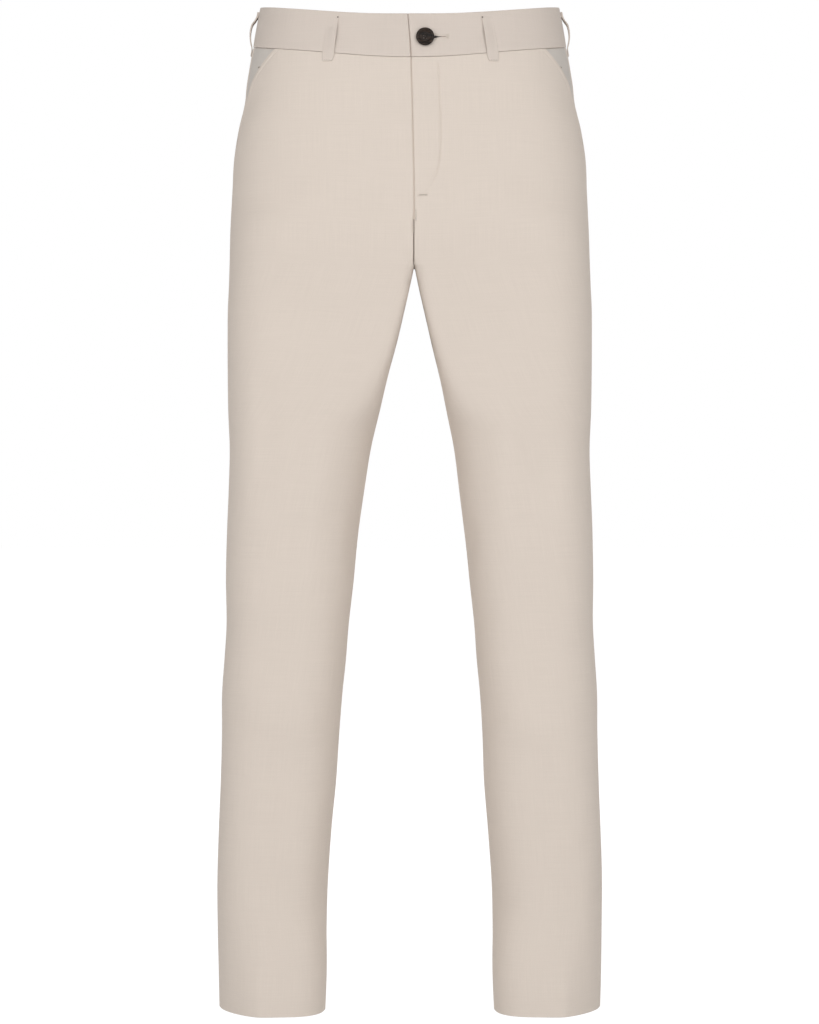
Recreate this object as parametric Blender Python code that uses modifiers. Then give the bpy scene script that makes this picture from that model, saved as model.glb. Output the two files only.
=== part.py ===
"""Linen trousers, worn and hollow, standing in their own frame.

Metres, +Z up. The front faces -Y and the wearer's left is at +X. The origin is the middle of
the waist, level with the top of the waistband at the sides. Each half of the garment is one
surface: open rings from the centre front round the side to the centre back, which close into
leg rings below the fork. Every piece of cloth is a flat grid, extruded to its wall and bent
onto that surface.
"""

import functools
import math

import bmesh
import bpy
import numpy as np
from mathutils import Vector

# Cloth
GAP = 0.0003  # between pieces at a seam
WALL = 0.0015
BAND_WALL = 0.0022
LOOP_WALL = 0.0020
ZIP_WALL = 0.0010
UNDER_GAP = 0.0006  # between a piece and what lies under it, with room for the facets

# Heights at the side seam
HEM = -1.0460
FORK = -0.276  # lowest point of the crotch seam
FORK_ROW = -0.320  # the row of the cloth that ends at the fork, where it meets the side seam
FORK_FADE = -0.500  # below this the rows are level
CROTCH_HEIGHT = 0.081  # from the fork to where the two halves make one smooth front
CROTCH_CURVE = 2.4  # how square the crotch seam is from front to back: 2 would be an ellipse
CLEFT_TOP = FORK + CROTCH_HEIGHT
FORK_SQUARE = 1.50  # how much squarer the thighs are between them, at the fork
FORK_REACH = 0.260  # length of leg in which that fades
LEVEL_BELOW = -0.205  # above this the rows follow the waist
LEG_TOP = -0.350

# Waistband
BAND_HEIGHT = 0.0420
BAND_DROP = 0.0024  # how much taller it is at the centre front
BAND_DROP_REACH = 0.13
BAND_PROUD = 0.0005  # the band stands out from the panels
WAIST = (  # share of the half ring from the centre front, height of the band's top
    (0.000, -0.0265),
    (0.060, -0.0264),
    (0.100, -0.0259),
    (0.140, -0.0247),
    (0.180, -0.0231),
    (0.220, -0.0210),
    (0.260, -0.0186),
    (0.300, -0.0158),
    (0.340, -0.0127),
    (0.380, -0.0096),
    (0.430, -0.0056),
    (0.485, -0.0012),
    (0.530, 0.0022),
    (0.590, 0.0052),
    (0.670, 0.0080),
    (0.780, 0.0098),
    (0.900, 0.0102),
    (1.000, 0.0102),
)
WAIST_LEVEL = -0.045  # height of the ring that sets the waist's tilt
OVERLAP = 0.042  # the right half runs this far under the left one
DUCK = 0.004  # length in which what lies under at the centre front drops below its neighbour

# Fly and zip
FLY_BOTTOM = -0.190
FLY_FADE = 0.030
UNDERLAP = 0.012  # the right front runs this far under the left one
ZIP_BOTTOM = -0.185
ZIP_WIDTH = 0.026

# Seams, as arc lengths on the half ring
SIDE_FORWARD = (  # height, how far the side seam runs in front of the widest line
    (-1.0460, 0.021),
    (-0.5000, 0.022),
    (-0.3500, 0.027),
    (-0.2500, 0.035),
    (-0.1900, 0.040),
    (-0.1300, 0.040),
    (-0.0930, 0.035),
    (-0.0450, 0.035),
    (0.0150, 0.035),
)
INSEAM_FORWARD = 0.018  # how far the inseam runs in front of the innermost line of the leg
INSEAM_FADE = 0.300

# Slant pockets
MOUTH_TOP = 0.034  # from the side seam to the mouth, along the waist seam
MOUTH_BOTTOM = -0.150
MOUTH_CURVE = 2.9
FACING_UNDER = 0.012  # the facing runs this far under the front
FACING_LIP = 0.002  # from the mouth to where the facing starts to rise to the side seam
FACING_BOTTOM = -0.162

# Belt loops
LOOP_WIDTH = 0.0120
LOOP_BELOW_TOP = 0.0060
LOOP_BELOW_SEAM = 0.0068
LOOP_PLACES = {"front": 0.0800, "side": 0.2100, "back": 0.3380}  # arc from the centre front
LOOP_ARCH = (  # share of the way down, height over the panel
    (0.00, 0.0009),
    (0.10, 0.0010),
    (0.18, 0.0020),
    (0.30, 0.0046),
    (0.42, 0.0052),
    (0.55, 0.0047),
    (0.70, 0.0028),
    (0.80, 0.0012),
    (0.90, 0.0006),
    (1.00, 0.0005),
)

# Waist button
BUTTON_RADIUS = 0.00925
BUTTON_THICK = 0.0030
BUTTON_ARC = 0.0150  # from the centre front
BUTTON_BELOW_TOP = 0.0225
HOLE_RADIUS = 0.0009
HOLE_OUT = 0.0019

# Half sections. outer and inner are the ring's widest and innermost x, front and back its depth,
# square the exponent of its outline, and centre is how far the middle line lies off x = 0.
# Above the fork the ring is cut at the middle line, and inner isn't used.
COLUMNS = ("z", "outer", "inner", "front", "back", "square", "centre")
SECTIONS = (
    (0.0150, 0.1495, 0.0000, 0.0935, 0.1106, 2.80, -0.0008),
    (0.0000, 0.1545, 0.0000, 0.0968, 0.1132, 2.80, -0.0004),
    (-0.0200, 0.1582, 0.0000, 0.0997, 0.1159, 2.80, 0.0004),
    (-0.0450, 0.1628, 0.0000, 0.1020, 0.1198, 2.80, 0.0014),
    (-0.0570, 0.1651, 0.0000, 0.1030, 0.1218, 2.84, 0.0016),
    (-0.0730, 0.1677, 0.0000, 0.1038, 0.1238, 2.92, 0.0018),
    (-0.0880, 0.1699, 0.0000, 0.1046, 0.1256, 3.00, 0.0022),
    (-0.1030, 0.1712, 0.0000, 0.1054, 0.1273, 3.08, 0.0026),
    (-0.1340, 0.1781, 0.0000, 0.1065, 0.1299, 3.18, 0.0034),
    (-0.1660, 0.1828, 0.0000, 0.1071, 0.1321, 3.25, 0.0042),
    (-0.1950, 0.1841, 0.0000, 0.1069, 0.1328, 3.28, 0.0047),
    (-0.2200, 0.1854, 0.0000, 0.1056, 0.1297, 3.28, 0.0048),
    (-0.2450, 0.1864, 0.0000, 0.1035, 0.1238, 3.26, 0.0047),
    (-0.2700, 0.1871, 0.0000, 0.0992, 0.1121, 3.22, 0.0047),
    (-0.2950, 0.1880, 0.0036, 0.0949, 0.1020, 3.18, 0.0047),
    (-0.3200, 0.1892, 0.0100, 0.0907, 0.0965, 3.12, 0.0047),
    (-0.3500, 0.1895, 0.0166, 0.0871, 0.0924, 3.06, 0.0046),
    (-0.3850, 0.1896, 0.0250, 0.0837, 0.0878, 3.00, 0.0041),
    (-0.4250, 0.1892, 0.0334, 0.0807, 0.0833, 2.94, 0.0035),
    (-0.4650, 0.1877, 0.0417, 0.0780, 0.0794, 2.88, 0.0028),
    (-0.5050, 0.1888, 0.0473, 0.0760, 0.0761, 2.82, 0.0022),
    (-0.5500, 0.1906, 0.0530, 0.0731, 0.0729, 2.76, 0.0018),
    (-0.6000, 0.1918, 0.0582, 0.0707, 0.0697, 2.70, 0.0019),
    (-0.6500, 0.1914, 0.0638, 0.0684, 0.0682, 2.66, 0.0019),
    (-0.6850, 0.1934, 0.0663, 0.0670, 0.0682, 2.64, 0.0017),
    (-0.7170, 0.1955, 0.0696, 0.0660, 0.0689, 2.62, 0.0015),
    (-0.7600, 0.1959, 0.0728, 0.0640, 0.0690, 2.60, 0.0011),
    (-0.8100, 0.1973, 0.0752, 0.0625, 0.0692, 2.60, 0.0004),
    (-0.8600, 0.1991, 0.0797, 0.0628, 0.0694, 2.60, 0.0000),
    (-0.9150, 0.2007, 0.0834, 0.0634, 0.0697, 2.56, 0.0000),
    (-0.9650, 0.2005, 0.0851, 0.0645, 0.0700, 2.46, 0.0000),
    (-1.0050, 0.1999, 0.0866, 0.0655, 0.0700, 2.32, 0.0000),
    (HEM, 0.1992, 0.0890, 0.0665, 0.0700, 2.05, 0.0000),
)
CROTCH_ROWS = (-0.2325, -0.2575, -0.2825, -0.3075)  # rows of cloth between the sections
PANEL_ROWS = tuple(sorted([row[0] for row in SECTIONS if row[0] < WAIST_LEVEL] + [*CROTCH_ROWS]))[::-1]

# Mesh
RING_STEPS = 241
STEP = 0.0002  # between the points that give a normal
FRONT_COLUMNS = 12
CROWDING = 0.40  # how much closer the front's columns are at the side than in its middle
BACK_COLUMNS = 11
BAND_COLUMNS = 20
BAND_ROWS = 2

# Colours: linear RGB, roughness
LINEN = ((0.64, 0.56, 0.48), 0.85)
FACING = ((0.60, 0.52, 0.45), 0.85)
TAPE = ((0.52, 0.46, 0.38), 0.70)
HORN = ((0.045, 0.030, 0.024), 0.28)


def ease(x):
    """0 below 0, 1 above 1, and level at both."""
    x = min(max(x, 0.0), 1.0)
    return x * x * (3.0 - 2.0 * x)


HEIGHTS = np.array([row[0] for row in SECTIONS])
VALUES = np.array([row[1:] for row in SECTIONS])
SLOPES = np.gradient(VALUES, HEIGHTS, axis=0)


def section(z):
    """The columns after z at height z, on a smooth curve through the rows."""
    below = min(max(int(np.searchsorted(-HEIGHTS, -z)), 1), len(HEIGHTS) - 1)
    above = below - 1
    span = HEIGHTS[below] - HEIGHTS[above]
    t = (z - HEIGHTS[above]) / span
    start = (2 * t**3 - 3 * t**2 + 1) * VALUES[above] + (t**3 - 2 * t**2 + t) * span * SLOPES[above]
    end = (3 * t**2 - 2 * t**3) * VALUES[below] + (t**3 - t**2) * span * SLOPES[below]
    return dict(zip(COLUMNS[1:], start + end))


def squareness(z, square):
    """The exponent of the ring's inner half: squarer near the fork, where the thighs meet."""
    fade = (FORK - z) / FORK_REACH if z < FORK else (z - FORK) / CROTCH_HEIGHT
    return square + FORK_SQUARE * ease(1.0 - fade)


def innermost(z, outer, inner, square):
    """The ring's innermost x. Above the fork it lies past the middle line, so far that the cut
    ends of the rings make the curve of the crotch seam, front and back."""
    if z <= FORK:
        return max(inner, 0.0)
    fall = 1.0 - min((z - FORK) / CROTCH_HEIGHT, 1.0)
    reach = (1.0 - fall**CROTCH_CURVE) ** (1.0 / CROTCH_CURVE)
    past = (1.0 - reach**square) ** (1.0 / square)
    return -outer * (1.0 - past) / (1.0 + past)


@functools.lru_cache(maxsize=None)
def ring(z):
    """Half ring at height z: x, y and arc length from the front end, and whether it closes."""
    at = section(z)
    inside = squareness(z, at["square"])
    inner = innermost(z, at["outer"], at["inner"], inside)
    middle, half = (at["outer"] + inner) / 2, (at["outer"] - inner) / 2
    end = math.acos(-min(middle / half, 1.0) ** (inside / 2))
    angle = np.linspace(-end, end, RING_STEPS)
    across, deep = np.cos(angle), np.sin(angle)
    power = np.where(across < 0, 2.0 / inside, 2.0 / at["square"])
    x = middle + half * np.sign(across) * np.abs(across) ** power
    y = np.where(angle < 0, -at["front"], at["back"]) * np.abs(deep) ** power
    arc = np.concatenate(([0.0], np.cumsum(np.hypot(np.diff(x), np.diff(y)))))
    return x, y, arc, inner >= 0.0


def length(z):
    return ring(z)[2][-1]


def widest(z):
    """Arc from the centre front, or the innermost line of the leg, to the widest line."""
    return ring(z)[2][RING_STEPS // 2]


def side_seam(z):
    return widest(z) - float(np.interp(z, *zip(*SIDE_FORWARD)))


def turned(arc, z):
    """The arc within the half ring, and -1 where it runs past the middle line, otherwise 1."""
    total = length(z)
    if ring(z)[3]:
        return arc % total, 1.0
    if arc < 0.0:
        return -arc, -1.0
    return (2 * total - arc, -1.0) if arc > total else (arc, 1.0)


def on_ring(side, arc, z):
    """The point at arc on one half's surface. side is 1 for the wearer's left, -1 for the right."""
    arc, flip = turned(arc, z)
    x, y, along, _ = ring(z)
    at = section(z)
    out = float(np.interp(arc, along, x))
    lean = at["centre"] * (at["outer"] - out) / (at["outer"] - max(at["inner"], 0.0))
    return Vector((side * flip * (out + GAP / 2) + lean, float(np.interp(arc, along, y)), z))


def outline(x, y, z):
    """1 on the ring at height z, less inside it and more outside."""
    at = section(z)
    inside = squareness(z, at["square"])
    inner = innermost(z, at["outer"], at["inner"], inside)
    across = (2 * x - at["outer"] - inner) / (at["outer"] - inner)
    deep = y / (at["front"] if y < 0.0 else at["back"])
    power = inside if across < 0.0 else at["square"]
    return abs(across) ** power + abs(deep) ** power


def outward(side, arc, z):
    """The surface's normal, as the slope of the outline."""
    arc, flip = turned(arc, z)
    x, y, along, _ = ring(z)
    point = np.array((np.interp(arc, along, x), np.interp(arc, along, y), z))
    slope = [outline(*(point + step)) - outline(*(point - step)) for step in STEP * np.eye(3)]
    return Vector((side * flip * slope[0], slope[1], slope[2])).normalized()


def waist_dip(share):
    """Height of the band's top at a share of the half ring, against its top at the side."""
    return float(np.interp(share, *zip(*WAIST)))


def band_drop(share):
    """How much taller than at the side the band is at a share of the half ring."""
    return BAND_DROP * math.exp(-((share / BAND_DROP_REACH) ** 2))


def row_height(side_z, share, seamward):
    """Height of the row that meets the side seam at side_z. It follows the waist near the top,
    and rises to the fork at its seam end, where seamward is 1."""
    fade = ease((side_z - LEVEL_BELOW) / (-BAND_HEIGHT - LEVEL_BELOW))
    waist = (waist_dip(share) - band_drop(share)) * fade
    if side_z >= CLEFT_TOP:
        rise = 0.0
    elif side_z >= FORK_ROW:
        turn = (side_z - FORK_ROW) / (CLEFT_TOP - FORK_ROW) * math.pi / 2
        rise = FORK + CROTCH_HEIGHT * (1.0 - math.cos(turn) ** (2.0 / CROTCH_CURVE)) - side_z
    else:
        rise = (FORK - FORK_ROW) * ease((side_z - FORK_FADE) / (FORK_ROW - FORK_FADE))
    return side_z + waist + rise * seamward**2.2


def inseam(z):
    """How far in front of the leg's innermost line the inseam runs."""
    return INSEAM_FORWARD * ease((FORK - z) / INSEAM_FADE)


def mouth(side_z):
    """Arc from the side seam forward to the pocket mouth."""
    rise = (side_z - MOUTH_BOTTOM) / (-BAND_HEIGHT - MOUTH_BOTTOM)
    return MOUTH_TOP * max(rise, 0.0) ** MOUTH_CURVE


def panel_row(v):
    """Side height at a share of the panel's rows, counted from the top."""
    rows = (-BAND_HEIGHT - GAP,) + PANEL_ROWS
    return float(np.interp(v * (len(rows) - 1), range(len(rows)), rows))


def on_panel(side_z, seamward, arc_at):
    """Arc and height of a point of a panel. arc_at gives the arc at a height, and the height
    depends a little on that arc, so it is worked out in turns."""
    z = row_height(side_z, 0.5, seamward)
    for _ in range(3):
        z = row_height(side_z, arc_at(z) / length(z), seamward)
    return arc_at(z), z


def front_surface(side):
    """The right front starts with two narrow columns more, which carry it under the left one."""
    narrow = 0.0 if side > 0 else 2.0 / (FRONT_COLUMNS + 2)

    def place(u, v):
        side_z = panel_row(v)
        across = max((u - narrow) / (1.0 - narrow), 0.0)
        across *= 1.0 + CROWDING * ease((side_z - LEG_TOP) / (CLEFT_TOP - LEG_TOP)) * (1.0 - across)
        near = sunk = 0.0
        if side < 0:
            lap = ease((side_z - FLY_BOTTOM) / FLY_FADE)
            line = DUCK * (1.0 - lap)
            near = float(np.interp(u, (0.0, narrow / 2, narrow), (-UNDERLAP * lap, line, line + DUCK)))
            deep = ease((side_z - FLY_BOTTOM + FLY_FADE) / FLY_FADE)
            sunk = (WALL + UNDER_GAP) * deep * ease((line + DUCK - near) / DUCK)
        seam_z = row_height(side_z, 0.0, 1.0)
        start = inseam(seam_z) + GAP / 2 + near
        end = side_seam(seam_z) - mouth(side_z) - GAP / 2
        ahead = side_seam(seam_z) - start - (end - start) * across
        return *on_panel(side_z, 1.0 - u, lambda z: side_seam(z) - ahead), sunk

    return place


def back_surface(u, v):
    side_z = panel_row(v)
    seam_z = row_height(side_z, 1.0, 1.0)
    whole = length(seam_z) + inseam(seam_z) - side_seam(seam_z)
    behind = GAP / 2 + (whole - GAP) * u
    return *on_panel(side_z, u, lambda z: side_seam(z) + behind), 0.0


def facing_surface(u, v):
    top = -BAND_HEIGHT - GAP
    side_z = top + (FACING_BOTTOM - top) * v
    opening = mouth(side_z)
    lip = max(opening - FACING_LIP, 2 * GAP)
    back = float(np.interp(u, (0.0, 0.4, 1.0), (opening + FACING_UNDER, lip, GAP)))
    shown = ease((lip - back) / lip) * ease(opening / FACING_UNDER)
    sunk = (WALL + UNDER_GAP) * (1.0 - shown)
    return *on_panel(side_z, 0.0, lambda z: side_seam(z) - back), sunk


def band_surface(side):
    """The right half's first three columns carry it under the left half."""

    def place(u, v):
        ring_length = length(WAIST_LEVEL)
        shares = (0.0, 2.0 / BAND_COLUMNS, 3.0 / BAND_COLUMNS, 1.0)
        stops = (-OVERLAP, 0.0, DUCK, ring_length - GAP / 2)
        if side > 0:
            shares, stops = (0.0, 1.0), (GAP / 2, ring_length - GAP / 2)
        arc = float(np.interp(u, shares, stops))
        share = arc / ring_length
        z = waist_dip(abs(share)) - (BAND_HEIGHT + band_drop(share) - GAP) * v
        under = BAND_WALL + UNDER_GAP if side < 0 else 0.0
        return share * length(z), z, under * ease((DUCK - arc) / DUCK) - BAND_PROUD

    return place


def loop_surface(at):
    def place(u, v):
        ring_length = length(WAIST_LEVEL)
        arc = at + LOOP_WIDTH * (u - 0.5)
        tall = BAND_HEIGHT + band_drop(at / ring_length) - LOOP_BELOW_TOP + LOOP_BELOW_SEAM
        z = waist_dip(at / ring_length) - LOOP_BELOW_TOP - tall * v
        lift = float(np.interp(v, *zip(*LOOP_ARCH))) + LOOP_WALL
        return arc / ring_length * length(z), z, -lift

    return place


def zip_surface(u, v):
    top = waist_dip(0.0) - BAND_HEIGHT - BAND_DROP - 0.004
    arc = UNDERLAP / 2 + ZIP_WIDTH * (u - 0.5)
    return arc, top + (ZIP_BOTTOM - top) * v, 2 * (WALL + UNDER_GAP)


def material(name, look):
    colour, rough = look
    made = bpy.data.materials.new(name)
    made.use_nodes = True
    shader = made.node_tree.nodes["Principled BSDF"]
    shader.inputs["Base Color"].default_value = (*colour, 1.0)
    shader.inputs["Roughness"].default_value = rough
    shader.inputs["Metallic"].default_value = 0.0
    return made


def add(name, bm, look, collection):
    """Makes an object of bm, with its faces pointing out and a material of its own."""
    bmesh.ops.recalc_face_normals(bm, faces=bm.faces[:])
    if bm.calc_volume(signed=True) < 0.0:
        bmesh.ops.reverse_faces(bm, faces=bm.faces[:])
    mesh = bpy.data.meshes.new(name)
    bm.to_mesh(mesh)
    bm.free()
    mesh.materials.append(material(name, look))
    made = bpy.data.objects.new(name, mesh)
    collection.objects.link(made)
    return made


def cloth(name, side, place, columns, rows, wall, look, collection):
    """A piece of cloth: a flat grid, given its wall and bent onto place(u, v). u runs across and
    v runs down."""
    bm = bmesh.new()
    bmesh.ops.create_grid(bm, x_segments=columns, y_segments=rows, size=0.5)
    made = bmesh.ops.extrude_face_region(bm, geom=bm.faces[:])
    inside = {item for item in made["geom"] if isinstance(item, bmesh.types.BMVert)}
    for vert in bm.verts:
        depth = wall if vert in inside else 0.0
        arc, z, sunk = place(vert.co.x + 0.5, 0.5 - vert.co.y)
        vert.co = on_ring(side, arc, z) - outward(side, arc, z) * (sunk + depth)
    bmesh.ops.triangulate(bm, faces=bm.faces[:], quad_method="SHORT_EDGE")
    piece = add(name, bm, look, collection)
    piece.data.shade_smooth()
    piece.data.set_sharp_from_angle(angle=math.radians(40))
    return piece


def button(collection, cutters):
    """The waist button: a turned disc with a rim, and four holes for its thread."""
    r, t = BUTTON_RADIUS, BUTTON_THICK
    profile = (
        (0.0, 0.66 * t),
        (0.60 * r, 0.66 * t),
        (0.74 * r, 0.97 * t),
        (0.88 * r, t),
        (0.98 * r, 0.80 * t),
        (r, 0.50 * t),
        (0.95 * r, 0.16 * t),
        (0.80 * r, 0.0),
        (0.0, 0.0),
    )
    mesh = bpy.data.meshes.new("waist_button")
    edges = [(i, i + 1) for i in range(len(profile) - 1)]
    mesh.from_pydata([(x, 0.0, z) for x, z in profile], edges, [])
    mesh.materials.append(material("waist_button", HORN))
    disc = bpy.data.objects.new("waist_button", mesh)
    collection.objects.link(disc)
    screw = disc.modifiers.new("turned", "SCREW")
    screw.steps = screw.render_steps = 28
    screw.use_merge_vertices = True
    screw.merge_threshold = 0.00001
    z = waist_dip(0.0) - BUTTON_BELOW_TOP
    normal = outward(1, BUTTON_ARC, z)
    disc.location = on_ring(1, BUTTON_ARC, z) + normal * (BAND_PROUD + GAP)
    disc.rotation_euler = normal.to_track_quat("Z", "Y").to_euler()
    bm = bmesh.new()
    for turn in range(4):
        angle = math.radians(45 + 90 * turn)
        hole = bmesh.ops.create_cone(
            bm, cap_ends=True, segments=10, radius1=HOLE_RADIUS, radius2=HOLE_RADIUS, depth=4 * t
        )
        out = Vector((math.cos(angle), math.sin(angle), 0.0)) * HOLE_OUT
        bmesh.ops.translate(bm, verts=hole["verts"], vec=out)
    holes = add("button_holes", bm, HORN, cutters)
    holes.location, holes.rotation_euler = disc.location, disc.rotation_euler
    holes.display_type = "WIRE"
    holes.hide_render = True
    cut = disc.modifiers.new("holes", "BOOLEAN")
    cut.operation = "DIFFERENCE"
    cut.solver = "EXACT"
    cut.object = holes
    return disc


def build():
    for ob in list(bpy.data.objects):
        bpy.data.objects.remove(ob, do_unlink=True)
    parts = bpy.data.collections.new("linen_trousers")
    cutters = bpy.data.collections.new("cutters")
    bpy.context.scene.collection.children.link(parts)
    bpy.context.scene.collection.children.link(cutters)
    rows = len(PANEL_ROWS)
    for side, name in ((1, "left"), (-1, "right")):
        columns = FRONT_COLUMNS if side > 0 else FRONT_COLUMNS + 2
        cloth(f"front_{name}", side, front_surface(side), columns, rows, WALL, LINEN, parts)
        cloth(f"back_{name}", side, back_surface, BACK_COLUMNS, rows, WALL, LINEN, parts)
        cloth(f"pocket_facing_{name}", side, facing_surface, 5, 8, WALL, FACING, parts)
        band = band_surface(side)
        cloth(f"waistband_{name}", side, band, BAND_COLUMNS, BAND_ROWS, BAND_WALL, LINEN, parts)
        for where, at in LOOP_PLACES.items():
            loop = loop_surface(at)
            cloth(f"belt_loop_{where}_{name}", side, loop, 2, 12, LOOP_WALL, LINEN, parts)
    cloth("fly_zip", 1, zip_surface, 3, 6, ZIP_WALL, TAPE, parts)
    button(parts, cutters)


build()
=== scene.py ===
"""Linen trousers: their fine cloth, seams, stitching, horn button, light and camera.

Metres, +Z up. The front faces -Y and the wearer's left is at +X. The cloth lies on nearly the same
rings as the frame's solids, squarer at the crotch, with folds, rolled edges, pressed seams and
turned-up hems added.
"""

import math

import bmesh
import bpy
import numpy as np
from mathutils import Matrix, Vector


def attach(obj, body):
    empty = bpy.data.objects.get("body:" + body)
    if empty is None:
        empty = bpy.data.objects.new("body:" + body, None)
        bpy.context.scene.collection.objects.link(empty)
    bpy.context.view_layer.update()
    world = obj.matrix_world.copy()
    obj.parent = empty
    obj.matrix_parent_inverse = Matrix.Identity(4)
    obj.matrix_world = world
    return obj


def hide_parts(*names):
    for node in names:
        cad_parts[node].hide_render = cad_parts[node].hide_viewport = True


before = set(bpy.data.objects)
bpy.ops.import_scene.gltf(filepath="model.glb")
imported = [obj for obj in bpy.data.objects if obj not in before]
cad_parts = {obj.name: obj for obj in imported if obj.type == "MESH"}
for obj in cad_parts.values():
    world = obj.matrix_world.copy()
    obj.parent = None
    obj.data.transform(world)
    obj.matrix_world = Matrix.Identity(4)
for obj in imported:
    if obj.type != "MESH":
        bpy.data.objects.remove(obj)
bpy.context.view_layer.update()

# Camera
CAMERA_PLACE = (-0.0002, -2.65, -0.530)
CAMERA_LENS = 88.8

NAMES = {1: "left", -1: "right"}

# Light: name, place, size, power
LAMPS = (
    ("key", (0.0, -3.4, 0.9), 2.6, 29.0),
    ("fill_left", (-2.1, -2.4, 0.5), 1.8, 29.0),
    ("fill_right", (2.1, -2.4, 0.5), 1.8, 29.0),
    ("back", (0.0, 3.4, 0.9), 2.6, 66.0),
)
LAMP_AIM = (0.0, 0.0, -0.5)
SKY_POWER = 0.36
FLOOR_BELOW = 0.10  # under the hems
FLOOR_GLOW = 1.13
FLOOR_SHARE = 0.85  # how much of what is seen of the floor is its glow

# Cloth
SEAM = 0.0002  # between pieces at a seam
WALL = 0.0008
UNDER = 0.0011  # how deep the surface of a piece lies under the one that covers it
FOLD_RADIUS = 0.0007  # the roll of a folded edge
ALLOWANCE = 0.011  # width of the seam allowance pressed flat inside
PRESS = 0.0002  # how proud the cloth lies over it
TURN_UP = 0.038

# Heights at the side seam
HEM = -1.0460
FORK = -0.2755
FORK_ROW = -0.320  # rows from here up to CLEFT_TOP end on the crotch seam
FORK_FADE = -0.500  # rows from here down are level
CROTCH_HEIGHT = 0.0805
CROTCH_TILT = 0.095  # the crotch seam rises toward the back
TILT_REACH = 0.10
INNER_SLANT = 0.55  # how far the back of a leg stands off the middle, as a share of its front
SLANT_MOST = 0.022
CROTCH_CURVE = 14.0  # how square the crotch seam is, where 2 is an ellipse
CROTCH_DEPTH = 0.100
CLEFT_TOP = FORK + CROTCH_HEIGHT  # above it the halves meet only at the front and back
FORK_SQUARE = 22.0  # how much squarer the inner side of a leg is at the fork
FORK_REACH = 0.180  # how far below the fork that fades
HEM_SQUARE = 1.6  # how much squarer the inner side of a leg is at the hem
HEM_SQUARE_TOP = -0.930
LEVEL_BELOW = -0.205  # above it the rows bend toward the dipping waist

# Waistband
BAND_HEIGHT = 0.0420
BAND_DROP = 0.0024  # how much taller it is at the centre front
BAND_DROP_REACH = 0.13
BAND_PROUD = 0.0004
BAND_WALL = 0.0017
BAND_UNDER = 0.0020  # how deep the right half lies under the left one
WAIST = (  # share of the half ring from the centre front, height of the band's top
    (0.000, -0.0265), (0.060, -0.0264), (0.100, -0.0259), (0.140, -0.0247), (0.180, -0.0231),
    (0.220, -0.0210), (0.260, -0.0186), (0.300, -0.0158), (0.340, -0.0127), (0.380, -0.0096),
    (0.430, -0.0056), (0.485, -0.0012), (0.530, 0.0022), (0.590, 0.0052), (0.670, 0.0080),
    (0.780, 0.0098), (0.900, 0.0102), (1.000, 0.0102),
)
WAIST_LEVEL = -0.045
OVERLAP = 0.042
DUCK = 0.0016  # over this width the cloth ducks under the edge that laps over it
BAND_SLANT = 0.0022  # its left end leans over the right half at the top

# Fly
FLY_BOTTOM = -0.224
FLY_FADE = 0.012  # the underlap widens over this height
CLEFT_DEEP = 0.0026  # the centre seam under the fly
UNDERLAP = 0.012
LAP_END = -0.232  # the left front lies over the right one down to here
ZIP_BOTTOM = -0.185
ZIP_WIDTH = 0.026
ZIP_GAP = 0.0012
ZIP_UNDER = 0.0046  # how deep it lies behind the cloth's surface
ZIP_WALL = 0.0006
COIL_PITCH = 0.0013
FLY_STITCH = (  # arc from the centre front, height
    (0.0268, -0.0790), (0.0276, -0.1050), (0.0282, -0.1400), (0.0276, -0.1580), (0.0250, -0.1770),
    (0.0190, -0.1925), (0.0110, -0.2010), (0.0030, -0.2045),
)

# Seams
SIDE_FORWARD = (  # height, how far the side seam runs in front of the widest line
    (-1.0460, 0.021), (-0.5000, 0.022), (-0.3500, 0.027), (-0.2500, 0.035), (-0.1900, 0.040),
    (-0.1300, 0.040), (-0.0930, 0.035), (-0.0450, 0.035), (0.0150, 0.035),
)
INSEAM_FORWARD = 0.018
INSEAM_FADE = 0.300

# Slant pockets
MOUTH_TOP = 0.048
MOUTH_BOTTOM = -0.150
MOUTH_CURVE = 2.0
MOUTH_GAPE = 0.0012  # how far its edge stands off the facing
FACING_UNDER = 0.012  # how far its hidden part reaches under the front
FACING_LIP = 0.002
FACING_BOTTOM = -0.162
FACING_WALL = 0.0007
MOUTH_STITCH = 0.0060  # from the mouth's edge

# Belt loops
LOOP_WIDTH = 0.0118
LOOP_WALL = 0.0020
LOOP_BELOW_TOP = 0.0060
LOOP_BELOW_SEAM = 0.0090
LOOP_STITCH = 0.0022  # from the loop's edge
LOOP_PLACES = {"front": 0.0812, "side": 0.2100, "back": 0.3380}
LOOP_LEAN = {"front": 0.0018, "side": 0.0, "back": 0.0010}
LOOP_FLAT = {"front": 0.85, "side": 0.0, "back": 0.3}  # how flat its edge away from the front lies
LOOP_ARCH = (  # share of the way down, height over the panel
    (0.00, 0.0009), (0.10, 0.0010), (0.18, 0.0020), (0.30, 0.0046), (0.42, 0.0052), (0.55, 0.0047),
    (0.70, 0.0028), (0.80, 0.0012), (0.90, 0.0006), (1.00, 0.0005),
)

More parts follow.
